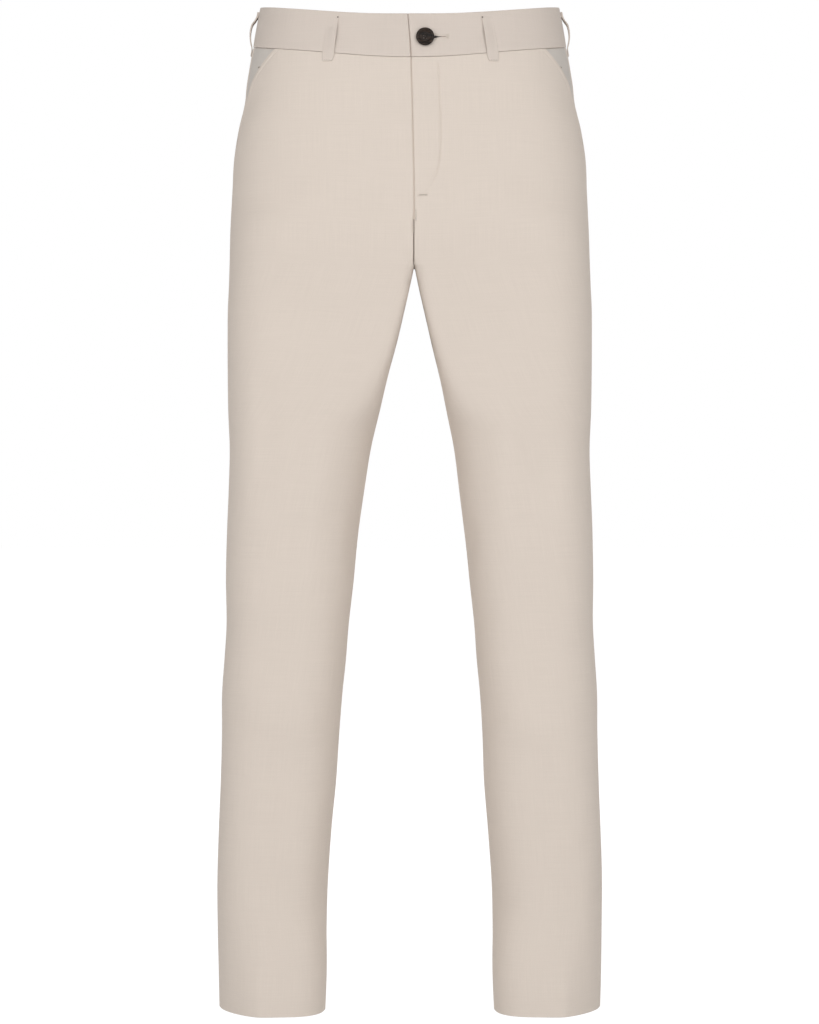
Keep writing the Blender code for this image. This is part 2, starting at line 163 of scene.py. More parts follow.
# How closely the cloth's points lie: each pair gives a place and the step there
CROTCH_ROWS = (0.196, 0.320, 0.0022)  # rows between these depths have this step
FLY_ROWS = (0.136, 0.320, 0.0022)
FRONT_WIDE = 0.2
FRONT_COLUMNS = {
    1: (
        (0.0, 0.00012), (0.0012, 0.0004), (0.003, 0.0014), (0.021, 0.0014), (0.025, 0.0005),
        (0.030, 0.0005), (0.040, 0.0028), (0.060, 0.0022), (0.064, 0.0010), (0.080, 0.0010),
        (0.085, 0.0028),
    ),
    -1: (
        (0.0, 0.0004), (0.002, 0.0009), (0.008, 0.0028), (0.052, 0.0026), (0.056, 0.0010),
        (0.074, 0.0010), (0.080, 0.0028),
    ),
}
FRONT_LAST_COLUMNS = (
    (0.188, 0.0028), (0.1935, 0.0007), (0.1955, 0.0007), (0.198, 0.0009), (FRONT_WIDE, 0.00012),
)
FRONT_HELD = {1: 0.036, -1: 0.006}  # how far from the fly the columns keep their distances
UNDERLAP_COLUMNS = 8
BACK_WIDE = 0.270
BACK_COLUMNS = (
    (0.0, 0.0003), (0.002, 0.0009), (0.009, 0.0030), (0.182, 0.0030), (0.188, 0.0011),
    (0.212, 0.0011), (0.218, 0.0030), (0.261, 0.0030), (0.268, 0.0009), (BACK_WIDE, 0.0003),
)
BAND_FIRST_COLUMNS = {
    1: (
        (SEAM / 2, 0.00015), (0.0016, 0.0005), (0.011, 0.0012), (0.014, 0.0004), (0.038, 0.0004),
        (0.045, 0.0028),
    ),
    -1: (
        (-OVERLAP, 0.0010), (-OVERLAP + 0.004, 0.0028), (-0.003, 0.0028), (0.0, 0.0004),
        (0.0045, 0.0004), (0.010, 0.0028),
    ),
}

# Waist button and its buttonhole
BUTTON_RADIUS = 0.00925
BUTTON_THICK = 0.0030
BUTTON_ARC = 0.0139  # from the centre front
BUTTON_BELOW_TOP = 0.0233
BUTTON_LIFT = 0.0009
BUTTON_PROFILE = (  # share of the radius, share of the thickness
    (0.0, 0.50), (0.30, 0.50), (0.50, 0.53), (0.62, 0.64), (0.70, 0.86), (0.78, 0.99), (0.86, 1.0),
    (0.93, 0.93), (0.98, 0.80), (1.0, 0.62), (0.985, 0.42), (0.93, 0.20), (0.82, 0.05), (0.6, 0.0),
    (0.0, 0.0),
)
HOLE_RADIUS = 0.00085
HOLE_OUT = 0.0018  # from the button's middle
SLIT = (0.0140, 0.0365)  # arcs of the buttonhole's ends
SLIT_OPEN = 0.0300  # it gapes up to here
SLIT_GAPE = 0.0013
SLIT_DEEP = 0.0014
BAND_ROWS = {
    1: (
        (0.0, 0.00015), (0.0018, 0.0006), (0.008, 0.0018), (BUTTON_BELOW_TOP - 0.004, 0.0012),
        (BUTTON_BELOW_TOP - 0.0018, 0.00022), (BUTTON_BELOW_TOP + 0.0018, 0.00022),
        (BUTTON_BELOW_TOP + 0.004, 0.0012), (0.034, 0.0018),
    ),
    -1: ((0.0, 0.00015), (0.0018, 0.0006), (0.008, 0.0020), (0.034, 0.0020)),
}

# Half sections, as in the solids but for one inner width below the fork
COLUMNS = ("z", "outer", "inner", "front", "back", "square", "centre")
SECTIONS = (
    (0.0150, 0.1495, 0.0000, 0.0935, 0.1106, 2.80, -0.0008),
    (0.0000, 0.1545, 0.0000, 0.0968, 0.1132, 2.80, -0.0004),
    (-0.0200, 0.1582, 0.0000, 0.0997, 0.1159, 2.80, 0.0004),
    (-0.0450, 0.1628, 0.0000, 0.1020, 0.1198, 2.80, 0.0014),
    (-0.0570, 0.1651, 0.0000, 0.1030, 0.1218, 2.84, 0.0016),
    (-0.0730, 0.1677, 0.0000, 0.1038, 0.1238, 2.92, 0.0018),
    (-0.0880, 0.1699, 0.0000, 0.1046, 0.1256, 3.00, 0.0022),
    (-0.1030, 0.1712, 0.0000, 0.1054, 0.1273, 3.08, 0.0026),
    (-0.1340, 0.1781, 0.0000, 0.1065, 0.1299, 3.18, 0.0034),
    (-0.1660, 0.1828, 0.0000, 0.1071, 0.1321, 3.25, 0.0042),
    (-0.1950, 0.1841, 0.0000, 0.1069, 0.1328, 3.28, 0.0047),
    (-0.2200, 0.1854, 0.0000, 0.1056, 0.1297, 3.28, 0.0048),
    (-0.2450, 0.1864, 0.0000, 0.1035, 0.1238, 3.26, 0.0047),
    (-0.2700, 0.1871, 0.0000, 0.0992, 0.1121, 3.22, 0.0047),
    (-0.2950, 0.1880, 0.0046, 0.0949, 0.1020, 3.18, 0.0047),
    (-0.3200, 0.1892, 0.0100, 0.0907, 0.0965, 3.12, 0.0047),
    (-0.3500, 0.1895, 0.0166, 0.0871, 0.0924, 3.06, 0.0046),
    (-0.3850, 0.1896, 0.0250, 0.0837, 0.0878, 3.00, 0.0041),
    (-0.4250, 0.1892, 0.0334, 0.0807, 0.0833, 2.94, 0.0035),
    (-0.4650, 0.1877, 0.0417, 0.0780, 0.0794, 2.88, 0.0028),
    (-0.5050, 0.1888, 0.0473, 0.0760, 0.0761, 2.82, 0.0022),
    (-0.5500, 0.1906, 0.0530, 0.0731, 0.0729, 2.76, 0.0018),
    (-0.6000, 0.1918, 0.0582, 0.0707, 0.0697, 2.70, 0.0019),
    (-0.6500, 0.1914, 0.0638, 0.0684, 0.0682, 2.66, 0.0019),
    (-0.6850, 0.1934, 0.0663, 0.0670, 0.0682, 2.64, 0.0017),
    (-0.7170, 0.1955, 0.0696, 0.0660, 0.0689, 2.62, 0.0015),
    (-0.7600, 0.1959, 0.0728, 0.0640, 0.0690, 2.60, 0.0011),
    (-0.8100, 0.1973, 0.0752, 0.0625, 0.0692, 2.60, 0.0004),
    (-0.8600, 0.1991, 0.0797, 0.0628, 0.0694, 2.60, 0.0000),
    (-0.9150, 0.2007, 0.0834, 0.0634, 0.0697, 2.56, 0.0000),
    (-0.9650, 0.2005, 0.0851, 0.0645, 0.0700, 2.46, 0.0000),
    (-1.0050, 0.1999, 0.0866, 0.0655, 0.0700, 2.32, 0.0000),
    (HEM, 0.1992, 0.0890, 0.0665, 0.0700, 2.05, 0.0000),
)

# Folds: side, front -1 or back 1, distance out from the middle, height, turn in degrees (90 runs
# down the leg), half length, half width above or toward the middle, half width on the other side,
# bow, height over the cloth
FOLDS = (
    (-1, -1, 0.0965, -0.508, 98, 0.145, 0.018, 0.014, 0.004, 0.0032),
    (-1, -1, 0.1450, -0.450, 94, 0.090, 0.012, 0.014, 0.000, -0.0022),
    (-1, -1, 0.0600, -0.560, 92, 0.045, 0.006, 0.006, 0.000, -0.0016),
    (-1, -1, 0.1270, -0.742, 4, 0.058, 0.034, 0.024, 0.010, 0.0036),
    (-1, -1, 0.1500, -1.058, 91, 0.140, 0.080, 0.022, 0.000, 0.0068),
    (-1, -1, 0.1540, -1.052, 91, 0.080, 0.014, 0.004, 0.000, 0.0010),
    (-1, -1, 0.1020, -0.870, 97, 0.090, 0.012, 0.018, 0.003, 0.0016),
    (1, -1, 0.0945, -0.478, 93, 0.125, 0.016, 0.017, -0.003, 0.0032),
    (1, -1, 0.1380, -0.492, 96, 0.055, 0.013, 0.013, 0.000, -0.0024),
    (1, -1, 0.0630, -0.560, 90, 0.040, 0.006, 0.006, 0.000, -0.0015),
    (1, -1, 0.1320, -0.752, -5, 0.055, 0.032, 0.022, 0.008, 0.0034),
    (1, -1, 0.1520, -1.058, 89, 0.135, 0.080, 0.021, 0.000, 0.0066),
    (1, -1, 0.1570, -1.052, 89, 0.070, 0.014, 0.004, 0.000, 0.0010),
    (1, -1, 0.1660, -0.930, 88, 0.070, 0.012, 0.012, 0.002, -0.0014),
    (-1, 1, 0.0800, -0.318, -24, 0.070, 0.012, 0.016, 0.010, -0.0026),
    (-1, 1, 0.1180, -0.398, 74, 0.095, 0.016, 0.013, 0.006, 0.0026),
    (-1, 1, 0.1240, -0.612, 6, 0.055, 0.016, 0.012, 0.008, 0.0028),
    (-1, 1, 0.1360, -0.668, -9, 0.040, 0.014, 0.012, 0.006, 0.0022),
    (-1, 1, 0.1300, -0.840, 84, 0.150, 0.018, 0.014, 0.005, 0.0022),
    (1, 1, 0.0860, -0.326, -20, 0.064, 0.013, 0.015, 0.012, -0.0024),
    (1, 1, 0.1080, -0.420, 82, 0.105, 0.014, 0.016, -0.005, 0.0028),
    (1, 1, 0.1340, -0.598, -7, 0.050, 0.015, 0.013, 0.009, 0.0026),
    (1, 1, 0.1220, -0.640, 5, 0.044, 0.014, 0.011, 0.007, 0.0024),
    (1, 1, 0.1420, -0.905, 95, 0.130, 0.016, 0.018, 0.004, 0.0020),
)


def ease(x):
    """0 below 0, 1 above 1, and level at both."""
    x = np.clip(x, 0.0, 1.0)
    return x * x * (3.0 - 2.0 * x)


def smooth_through(places, values, x):
    """Values at x on a smooth curve through values at places, which rise."""
    places, values = np.asarray(places, float), np.asarray(values, float)
    slopes = np.gradient(values, places, axis=0)
    x = np.clip(x, places[0], places[-1])
    right = np.clip(np.searchsorted(places, x), 1, len(places) - 1)
    left = right - 1
    span = places[right] - places[left]
    t = (x - places[left]) / span
    if values.ndim > 1:
        span, t = span[..., None], t[..., None]
    start = (2 * t**3 - 3 * t**2 + 1) * values[left] + (t**3 - 2 * t**2 + t) * span * slopes[left]
    return start + (3 * t**2 - 2 * t**3) * values[right] + (t**3 - t**2) * span * slopes[right]


def paced(*stops):
    """Positions from the first stop to the last, each stop giving a position and the step there."""
    places, steps = zip(*stops)
    fine = np.linspace(places[0], places[-1], 6000)
    pace = 1.0 / np.interp(fine, places, steps)
    count = np.concatenate(([0.0], np.cumsum((pace[1:] + pace[:-1]) / 2 * np.diff(fine))))
    return np.interp(np.linspace(0.0, count[-1], int(round(count[-1])) + 1), count, fine)


# The rings of one half of the garment, finely spaced, at even shares of their length
def squared(share):
    """Reach of the crotch seam at a share of its fall, or its fall at a share of its reach."""
    return (1.0 - share**CROTCH_CURVE) ** (1.0 / CROTCH_CURVE)


EVEN = np.linspace(0.0, 1.0, 90)
CURVE_RISE = CROTCH_HEIGHT * np.unique(np.concatenate((EVEN, 1.0 - squared(EVEN))))
CURVE_REACH = CROTCH_DEPTH * squared(1.0 - CURVE_RISE / CROTCH_HEIGHT)
CURVE_STEPS = np.hypot(np.diff(CURVE_RISE, prepend=0.0), np.diff(CURVE_REACH, prepend=0.0))
CURVE_PATH = np.cumsum(CURVE_STEPS)
LEVELS = np.concatenate(
    (
        np.linspace(0.0220, CLEFT_TOP, 120)[:-1],
        CURVE_RISE[::-1] + FORK,
        np.linspace(FORK, HEM - 0.006, 400)[1:],
    )
)
SHARES = np.linspace(0.0, 1.0, 721)


def make_rings():
    """The rings of the left half at all levels, from the centre front to the centre back."""
    table = np.array(SECTIONS)[::-1]
    at = dict(zip(COLUMNS[1:], smooth_through(table[:, 0], table[:, 1:], LEVELS).T))
    below = (FORK - LEVELS) / FORK_REACH
    above = (LEVELS - FORK) / CROTCH_HEIGHT
    inside = at["square"] + FORK_SQUARE * ease(1.0 - np.where(LEVELS < FORK, below, above))
    inside = inside + HEM_SQUARE * ease((HEM_SQUARE_TOP - LEVELS) / 0.08)
    reach = squared(1.0 - np.clip(above, 0.0, 1.0))
    past = (1.0 - reach**inside) ** (1.0 / inside)
    closed = LEVELS <= FORK
    inner = np.where(closed, np.maximum(at["inner"], 0.0), -at["outer"] * (1 - past) / (1 + past))
    middle, half = (at["outer"] + inner) / 2, (at["outer"] - inner) / 2
    end = math.pi - np.arcsin(reach ** (inside / 2))
    angle = np.linspace(-1.0, 1.0, 1441) * end[:, None]
    across, deep = np.cos(angle), np.sin(angle)
    power = np.where(across < 0, 2.0 / inside[:, None], 2.0 / at["square"][:, None])
    x = middle[:, None] + half[:, None] * np.sign(across) * np.abs(across) ** power
    y = np.where(angle < 0, -at["front"][:, None], at["back"][:, None]) * np.abs(deep) ** power
    arc = np.zeros_like(x)
    arc[:, 1:] = np.cumsum(np.hypot(np.diff(x), np.diff(y)), axis=1)
    total = arc[:, -1]
    out = np.array([np.interp(SHARES * t, a, v) for t, a, v in zip(total, arc, x)])
    depth = np.array([np.interp(SHARES * t, a, v) for t, a, v in zip(total, arc, y)])
    nearest = np.maximum(at["inner"], 0.0)
    lean = at["centre"] / (at["outer"] - nearest)
    lean = lean[:, None] * (at["outer"][:, None] - out)
    rings = {"x": out, "y": depth, "lean": lean, "length": total, "widest": arc[:, 720]}
    return at | rings | {"inner": inner, "inside": inside}


RINGS = make_rings()


def at_level(values, z):
    """Values of one number a level, at height z."""
    return np.interp(-np.asarray(z), -LEVELS, values)


def length(z):
    """Length of the half ring above the fork, or of the whole ring of a leg."""
    return at_level(RINGS["length"], z)


def widest(z):
    """Arc from the centre front, or the innermost line of the leg, to the widest line."""
    return at_level(RINGS["widest"], z)


def side_seam(z):
    """Arc from the centre front, or the innermost line, to the side seam."""
    places, forward = zip(*SIDE_FORWARD)
    return widest(z) - smooth_through(places, forward, z)


def on_outline(arc, z):
    """x and y on the half ring, the lean of the middle line, and -1 past it, otherwise 1."""
    share = arc / length(z)
    closed = z <= FORK
    flip = np.where(closed | ((share >= 0.0) & (share <= 1.0)), 1.0, -1.0)
    mirrored = np.where(share < 0.0, -share, np.where(share > 1.0, 2.0 - share, share))
    share = np.where(closed, share % 1.0, mirrored)
    row = np.interp(-z, -LEVELS, np.arange(len(LEVELS)))
    column = share * (len(SHARES) - 1)
    r = np.clip(row.astype(int), 0, len(LEVELS) - 2)
    c = np.clip(column.astype(int), 0, len(SHARES) - 2)
    down, along = row - r, column - c

    def pick(grid):
        first = grid[r, c] * (1 - along) + grid[r, c + 1] * along
        second = grid[r + 1, c] * (1 - along) + grid[r + 1, c + 1] * along
        return first * (1 - down) + second * down

    return pick(RINGS["x"]), pick(RINGS["y"]), pick(RINGS["lean"]), flip


def on_ring(side, arc, z):
    """Points of one half's surface, 1 for the wearer's left and -1 for the right."""
    arc, z = np.broadcast_arrays(np.asarray(arc, float), np.asarray(z, float))
    x, y, lean, flip = on_outline(arc, z)
    inner, outer = at_level(RINGS["inner"], z), at_level(RINGS["outer"], z)
    inward = np.clip((outer - x) / (outer - inner), 0.0, 1.0)
    slant = np.minimum(INNER_SLANT * np.maximum(inner, 0.0), SLANT_MOST) * inward
    tilt = CROTCH_TILT * np.exp(-(((z - FORK) / TILT_REACH) ** 2) - (x / TILT_REACH) ** 2)
    x = x + slant * (y + CROTCH_DEPTH)
    return np.stack((side * flip * (x + 0.00015) + lean, y, z + tilt * y), -1)


def outline(x, y, z):
    """1 on the ring at height z, less inside it and more outside."""
    outer, inner = at_level(RINGS["outer"], z), at_level(RINGS["inner"], z)
    across = (2 * x - outer - inner) / (outer - inner)
    deep = y / np.where(y < 0, at_level(RINGS["front"], z), at_level(RINGS["back"], z))
    power = np.where(across < 0, at_level(RINGS["inside"], z), at_level(RINGS["square"], z))
    return np.abs(across) ** power + np.abs(deep) ** power


def outward(side, arc, z):
    """The surface's normals, as the slope of the outline."""
    arc, z = np.broadcast_arrays(np.asarray(arc, float), np.asarray(z, float))
    x, y, _, flip = on_outline(arc, z)
    step = 0.0015
    slope = []
    for dx, dy, dz in step * np.eye(3):
        slope.append(outline(x + dx, y + dy, z + dz) - outline(x - dx, y - dy, z - dz))
    normal = np.stack((side * flip * slope[0], slope[1], slope[2]), -1)
    return normal / np.linalg.norm(normal, axis=-1, keepdims=True)


def folds(side, point):
    """Height of the folds over the smooth cloth."""
    out, y, z = side * point[..., 0], point[..., 1], point[..., 2]
    height = np.zeros(np.shape(z))
    for half, face, middle, level, turn, reach, above, below, bow, rise in FOLDS:
        if half != side:
            continue
        c, s = math.cos(math.radians(turn)), math.sin(math.radians(turn))
        along = ((out - middle) * c + (z - level) * s) / reach
        across = (z - level) * c - (out - middle) * s - bow * along**2
        profile = np.exp(-((across / np.where(across > 0, above, below)) ** 2))
        height += rise * profile * np.clip(1 - along**2, 0, 1) ** 2 * ease(face * y / 0.030)
    return height


def ripple(point):
    """A faint unevenness that runs on from one piece of cloth to the next."""
    x, y, z = point[..., 0], point[..., 1], point[..., 2]
    height = np.sin(31 * x + 17 * y + 23 * z) * np.sin(13 * z - 19 * x + 11 * y + 1.0)
    height += 0.6 * np.sin(47 * x - 29 * y - 11 * z + 2.0) * np.sin(41 * z + 7 * x + 0.5)
    return 0.00022 * height


def garment(side, arc, z, lift=0.0):
    """Points on the folded cloth, moved out by lift, and their normals."""
    arc, z = np.broadcast_arrays(np.asarray(arc, float), np.asarray(z, float))
    point, normal = on_ring(side, arc, z), outward(side, arc, z)
    height = folds(side, point) + ripple(point) + lift
    return point + normal * height[..., None], normal


def waist_dip(share):
    """Height of the band's top at a share of the half ring, against its top at the side."""
    shares, heights = zip(*WAIST)
    return smooth_through(shares, heights, np.abs(share))


def band_drop(share):
    """How much taller than at the side the band is at a share of the half ring."""
    return BAND_DROP * np.exp(-((share / BAND_DROP_REACH) ** 2))


def on_band(share, down):
    """Height of a point of the band, down from its top."""
    return waist_dip(share) - down * (1.0 + band_drop(share) / BAND_HEIGHT)


def row_height(side_z, share, seamward):
    """Height of the row that meets the side seam at side_z."""
    near_waist = ease((side_z - LEVEL_BELOW) / (-BAND_HEIGHT - LEVEL_BELOW))
    waist = (waist_dip(share) - band_drop(share)) * near_waist
    path = np.clip((side_z - FORK_ROW) / (CLEFT_TOP - FORK_ROW), 0.0, 1.0) * CURVE_PATH[-1]
    middle = FORK + np.interp(path, CURVE_PATH, CURVE_RISE) - side_z
    below = (FORK - FORK_ROW) * ease((side_z - FORK_FADE) / (FORK_ROW - FORK_FADE))
    rise = np.where(side_z >= CLEFT_TOP, 0.0, np.where(side_z >= FORK_ROW, middle, below))
    return side_z + waist + rise * seamward**2.2


def inseam(z):
    """How far in front of the leg's innermost line the inseam runs."""
    return INSEAM_FORWARD * ease((FORK - z) / INSEAM_FADE)


def mouth(side_z):
    """Arc from the side seam forward to the pocket mouth."""
    rise = np.clip((side_z - MOUTH_BOTTOM) / (-BAND_HEIGHT - MOUTH_BOTTOM), 0.0, None)
    return MOUTH_TOP * rise**MOUTH_CURVE


# Edges


def roll(distance, radius=FOLD_RADIUS):
    """How deep a rolled edge dips at a distance from it."""
    inside = np.clip(radius - distance, 0.0, radius)
    return radius - np.sqrt(radius**2 - inside**2)


def seam_dip(distance, deep=0.00035):
    """How deep the cloth dips into a seam."""
    narrow = deep * np.exp(-np.abs(distance) / 0.0006)
    return narrow + 0.00015 * np.exp(-((distance / 0.0035) ** 2))


def pressed(distance):
    """1 over the seam allowance inside, 0 past it."""
    return 1.0 - ease((distance - ALLOWANCE) / 0.0025)


def closing(distance):
    """How far the inside of a seam runs past its line, so that no light comes through."""
    return 0.0008 * np.exp(-((distance / 0.0008) ** 2))


def line_distance(points, arc, z):
    """Distance of each arc and height from a line of points."""
    best = np.full(np.shape(arc), 1.0)
    for (a0, z0), (a1, z1) in zip(points[:-1], points[1:]):
        da, dz = a1 - a0, z1 - z0
        t = np.clip(((arc - a0) * da + (z - z0) * dz) / (da * da + dz * dz), 0.0, 1.0)
        best = np.minimum(best, np.hypot(arc - a0 - t * da, z - z0 - t * dz))
    return best


def fly_line(count=60):
    """Points of the fly's curved stitching."""
    points = np.array(FLY_STITCH)
    return smooth_through(np.arange(len(points)), points, np.linspace(0, len(points) - 1, count))


# Meshes


def link_object(name, bm):
    """Puts bm in the scene as a plain object."""
    mesh = bpy.data.meshes.new(name)
    bm.to_mesh(mesh)
    bm.free()
    made = bpy.data.objects.new(name, mesh)
    bpy.context.scene.collection.objects.link(made)
    return made


def face_outward(bm):
    bmesh.ops.recalc_face_normals(bm, faces=bm.faces[:])
    if bm.calc_volume(signed=True) < 0.0:
        bmesh.ops.reverse_faces(bm, faces=bm.faces[:])


def finish_mesh(name, bm, look, slot, *nodes):
    """Makes an object of bm that rides on the garment and stands for the nodes."""
    made = link_object(name, bm)
    made.data.materials.append(look)
    made.data.shade_smooth()
    made.data.set_sharp_from_angle(angle=math.radians(42))
    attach(made, "root")
    if nodes:
        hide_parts(*nodes)
    return made


def cut_cloth(name, rows, columns, place, look, slot, *nodes):
    """A piece of cloth with two faces. place(rows, columns) gives its outside, its inside, and
    how far along and down the cloth each point lies."""
    grid = place(rows[:, None], columns[None, :])
    size = (len(rows), len(columns))
    outside, inside, along, down = (np.broadcast_to(g, size + g.shape[2:]) for g in grid)
    bm = bmesh.new()
    bmesh.ops.create_grid(bm, x_segments=len(columns) - 1, y_segments=len(rows) - 1, size=0.5)
    made = bmesh.ops.extrude_face_region(bm, geom=bm.faces[:])
    bm.verts.index_update()
    inner = np.zeros(len(bm.verts), bool)
    inner[[item.index for item in made["geom"] if isinstance(item, bmesh.types.BMVert)]] = True
    flat = np.array([vert.co[:2] for vert in bm.verts])
    column = np.round((flat[:, 0] + 0.5) * (len(columns) - 1)).astype(int)
    row = np.round((0.5 - flat[:, 1]) * (len(rows) - 1)).astype(int)
    place_of = np.where(inner[:, None], inside[row, column], outside[row, column])
    for vert, co in zip(bm.verts, place_of):
        vert.co = co
    face_outward(bm)
    piece = finish_mesh(name, bm, look, slot, *nodes)
    add_maps(piece.data, inner, row, column, along[row, column], down[row, column], *size)
    return piece


def add_maps(mesh, inner, row, column, along, down, rows, columns):
    """The weave's map, in metres, and a flat map with the outside on its left half."""
    corners = np.zeros(len(mesh.loops), int)
    mesh.loops.foreach_get("vertex_index", corners)
    first = np.zeros(len(mesh.polygons), int)
    count = np.zeros(len(mesh.polygons), int)
    mesh.polygons.foreach_get("loop_start", first)
    mesh.polygons.foreach_get("loop_total", count)
    face = np.repeat(np.arange(len(first)), count)
    shown = np.bincount(face, weights=~inner[corners]) > 0
    with_outside = shown[face]
    rim = with_outside & inner[corners]
    u, v = column[corners] / (columns - 1), 1.0 - row[corners] / (rows - 1)
    across = np.where(u < 0.5, -1.0, 1.0) * rim * np.isin(column[corners], (0, columns - 1))
    updown = np.where(v < 0.5, -1.0, 1.0) * rim * np.isin(row[corners], (0, rows - 1))
    weave = np.stack((along[corners] + 0.001 * across, down[corners] + 0.001 * updown), -1)
    left = np.where(with_outside, 0.0, 0.5)
    flat_u = left + 0.015 + 0.47 * u + 0.006 * across
    flat_v = 0.015 + 0.97 * v + 0.006 * updown
    for name, uv in (("Weave", weave), ("OFBake", np.stack((flat_u, flat_v), -1))):
        layer = mesh.uv_layers.new(name=name)
        layer.data.foreach_set("uv", uv.astype(np.float32).ravel())


def even_out(distances, start, end, held, held_end):
    """Arcs between start and end: those held near an edge keep their distance from it."""
    whole = distances[0, -1]
    share = (distances - held) / (whole - held - held_end)
    middle = start + held + share * (end - start - held - held_end)
    arcs = np.where(distances < held, start + distances, middle)
    return np.where(whole - distances < held_end, end - (whole - distances), arcs)


def panel_rows(dense):
    """Heights of a panel's rows, close together at its ends, at the hem's turn-up and in dense."""
    low, high, step = dense
    top, turn = -BAND_HEIGHT - SEAM, HEM + TURN_UP
    stops = [(-top, 0.0003), (-top + 0.0025, 0.0009), (-top + 0.008, 0.0030)]
    stops += [(low - 0.006, 0.0034), (low, step), (high, step), (high + 0.006, 0.0034)]
    stops += [(-turn - 0.008, 0.0034), (-turn - 0.001, 0.0005), (-turn + 0.001, 0.0005)]
    stops += [(-turn + 0.008, 0.0034), (-HEM - 0.006, 0.0030)]
    stops += [(-HEM - 0.0014, 0.0004), (-HEM, 0.0002)]
    return -paced(*stops)


def on_panel(arc_at, side_z, across):
    """Arcs and heights of a panel's points. across is 1 at its centre or inner seam and 0 at
    its side seam."""
    z = row_height(side_z, 0.5, across)
    for _ in range(4):
        z = row_height(side_z, arc_at(z) / length(z), across)
    return arc_at(z), z


def panel_faces(side, arc, z, side_z, lift, edges, past):
    """Outside and inside of a panel. edges are the distances from its sewn edges, and past is
    how far the inside is moved along the ring."""
    hem = side_z - HEM
    top = -BAND_HEIGHT - SEAM - side_z
    nearest = np.minimum.reduce([np.broadcast_to(e, np.shape(arc)) for e in edges])
    lift = lift - roll(hem) - 0.5 * seam_dip(top)
    outside, normal = garment(side, arc, z, lift)
    depth = WALL + 0.0005 * pressed(nearest) + 0.0006 * (1.0 - ease((hem - TURN_UP) / 0.0008))
    depth = depth - roll(hem, 0.0005)
    inside, normal = garment(side, arc + past, z, lift)
    return outside, inside - normal * depth[..., None]


def inner_press(z, from_centre):
    """Height of the cloth over the seam allowance of the inner leg."""
    return PRESS * ease((FORK - z) / 0.02) * pressed(from_centre)


def near_mouth(side_z):
    """How deep the side seam dips, deeper beside the pocket."""
    return 0.00035 + 0.0006 * ease((side_z + 0.225) / 0.03)


def mouth_lift(side_z, from_side, opened):
    """Height of a front at its pocket mouth and, below that, at its side seam."""
    pocket = np.where(from_side < MOUTH_STITCH * 3, opened, 0.0)
    middle = np.clip((side_z - MOUTH_BOTTOM) / (-BAND_HEIGHT - MOUTH_BOTTOM), 0.0, 1.0)
    lift = MOUTH_GAPE * np.sin(math.pi * middle) ** 2 * np.exp(-((from_side / 0.010) ** 2))
    lift = lift + PRESS * np.exp(-(((from_side - 0.0032) / 0.0022) ** 2)) * opened
    lift = lift - 0.00035 * np.exp(-(((from_side - MOUTH_STITCH) / 0.0008) ** 2)) * pocket
    lift = lift - (1 - opened) * seam_dip(from_side, near_mouth(side_z))
    lift = lift - opened * roll(from_side, 0.00025)
    return lift + PRESS * (1 - opened) * pressed(from_side)


def over_lift(z, from_centre):
    """Height of the left front near its edge, which laps over, and along the fly's stitching."""
    joined = ease((z - FORK - 0.003) / 0.006)
    lift = -(1 - joined) * seam_dip(from_centre) - joined * roll(from_centre)
    groove = line_distance(fly_line(), from_centre, z)
    within = (from_centre < 0.05) & (z > FLY_BOTTOM + 0.002)
    lift = lift - within * 0.0006 * np.exp(-((groove / 0.0009) ** 2))
    ridge = np.exp(-(((from_centre - 0.0245) / 0.0030) ** 2))
    lift = lift + 0.0004 * ridge * ease((z + 0.172) / 0.02) * ease((-0.070 - z) / 0.02)
    lapped = ease((z - LAP_END) / 0.006)
    return lift + PRESS * lapped * np.exp(-(((from_centre - 0.0025) / 0.003) ** 2))


def under_lift(z, deep, line, from_centre):
    """Height of the right front, which ducks under the fly and dips into the centre seam."""
    joined = ease((z - FORK - 0.003) / 0.006)
    lift = -(UNDER + 0.0003) * deep * ease((line + DUCK - from_centre) / DUCK)
    cleft = joined * (1 - deep) * ease(1.0 - from_centre / 0.0015)
    return lift - CLEFT_DEEP * cleft - (1 - joined) * seam_dip(from_centre)


def front_columns(side, side_z, columns):
    """Arcs of a front's columns at the height of its centre seam, that height, the seam's arc, and
    how far past it the right front's underlap turns into the front."""
    lap = ease((side_z - FLY_BOTTOM) / FLY_FADE)
    line = DUCK * (1.0 - lap) if side < 0 else 0.0
    seam_z = row_height(side_z, np.zeros(np.shape(side_z)), 1.0)
    start = inseam(seam_z) + SEAM / 2
    end = side_seam(seam_z) - mouth(side_z) - SEAM / 2
    body = np.clip(columns, 0.0, None)
    arcs = even_out(body, start + line, end, FRONT_HELD[side], 0.009)
    if side < 0:
        share = (columns + UNDERLAP_COLUMNS) / UNDERLAP_COLUMNS
        under = -UNDERLAP * lap
        arcs = np.where(columns < 0, start + under + (line - under) * share, arcs)
    return arcs, seam_z, start, line


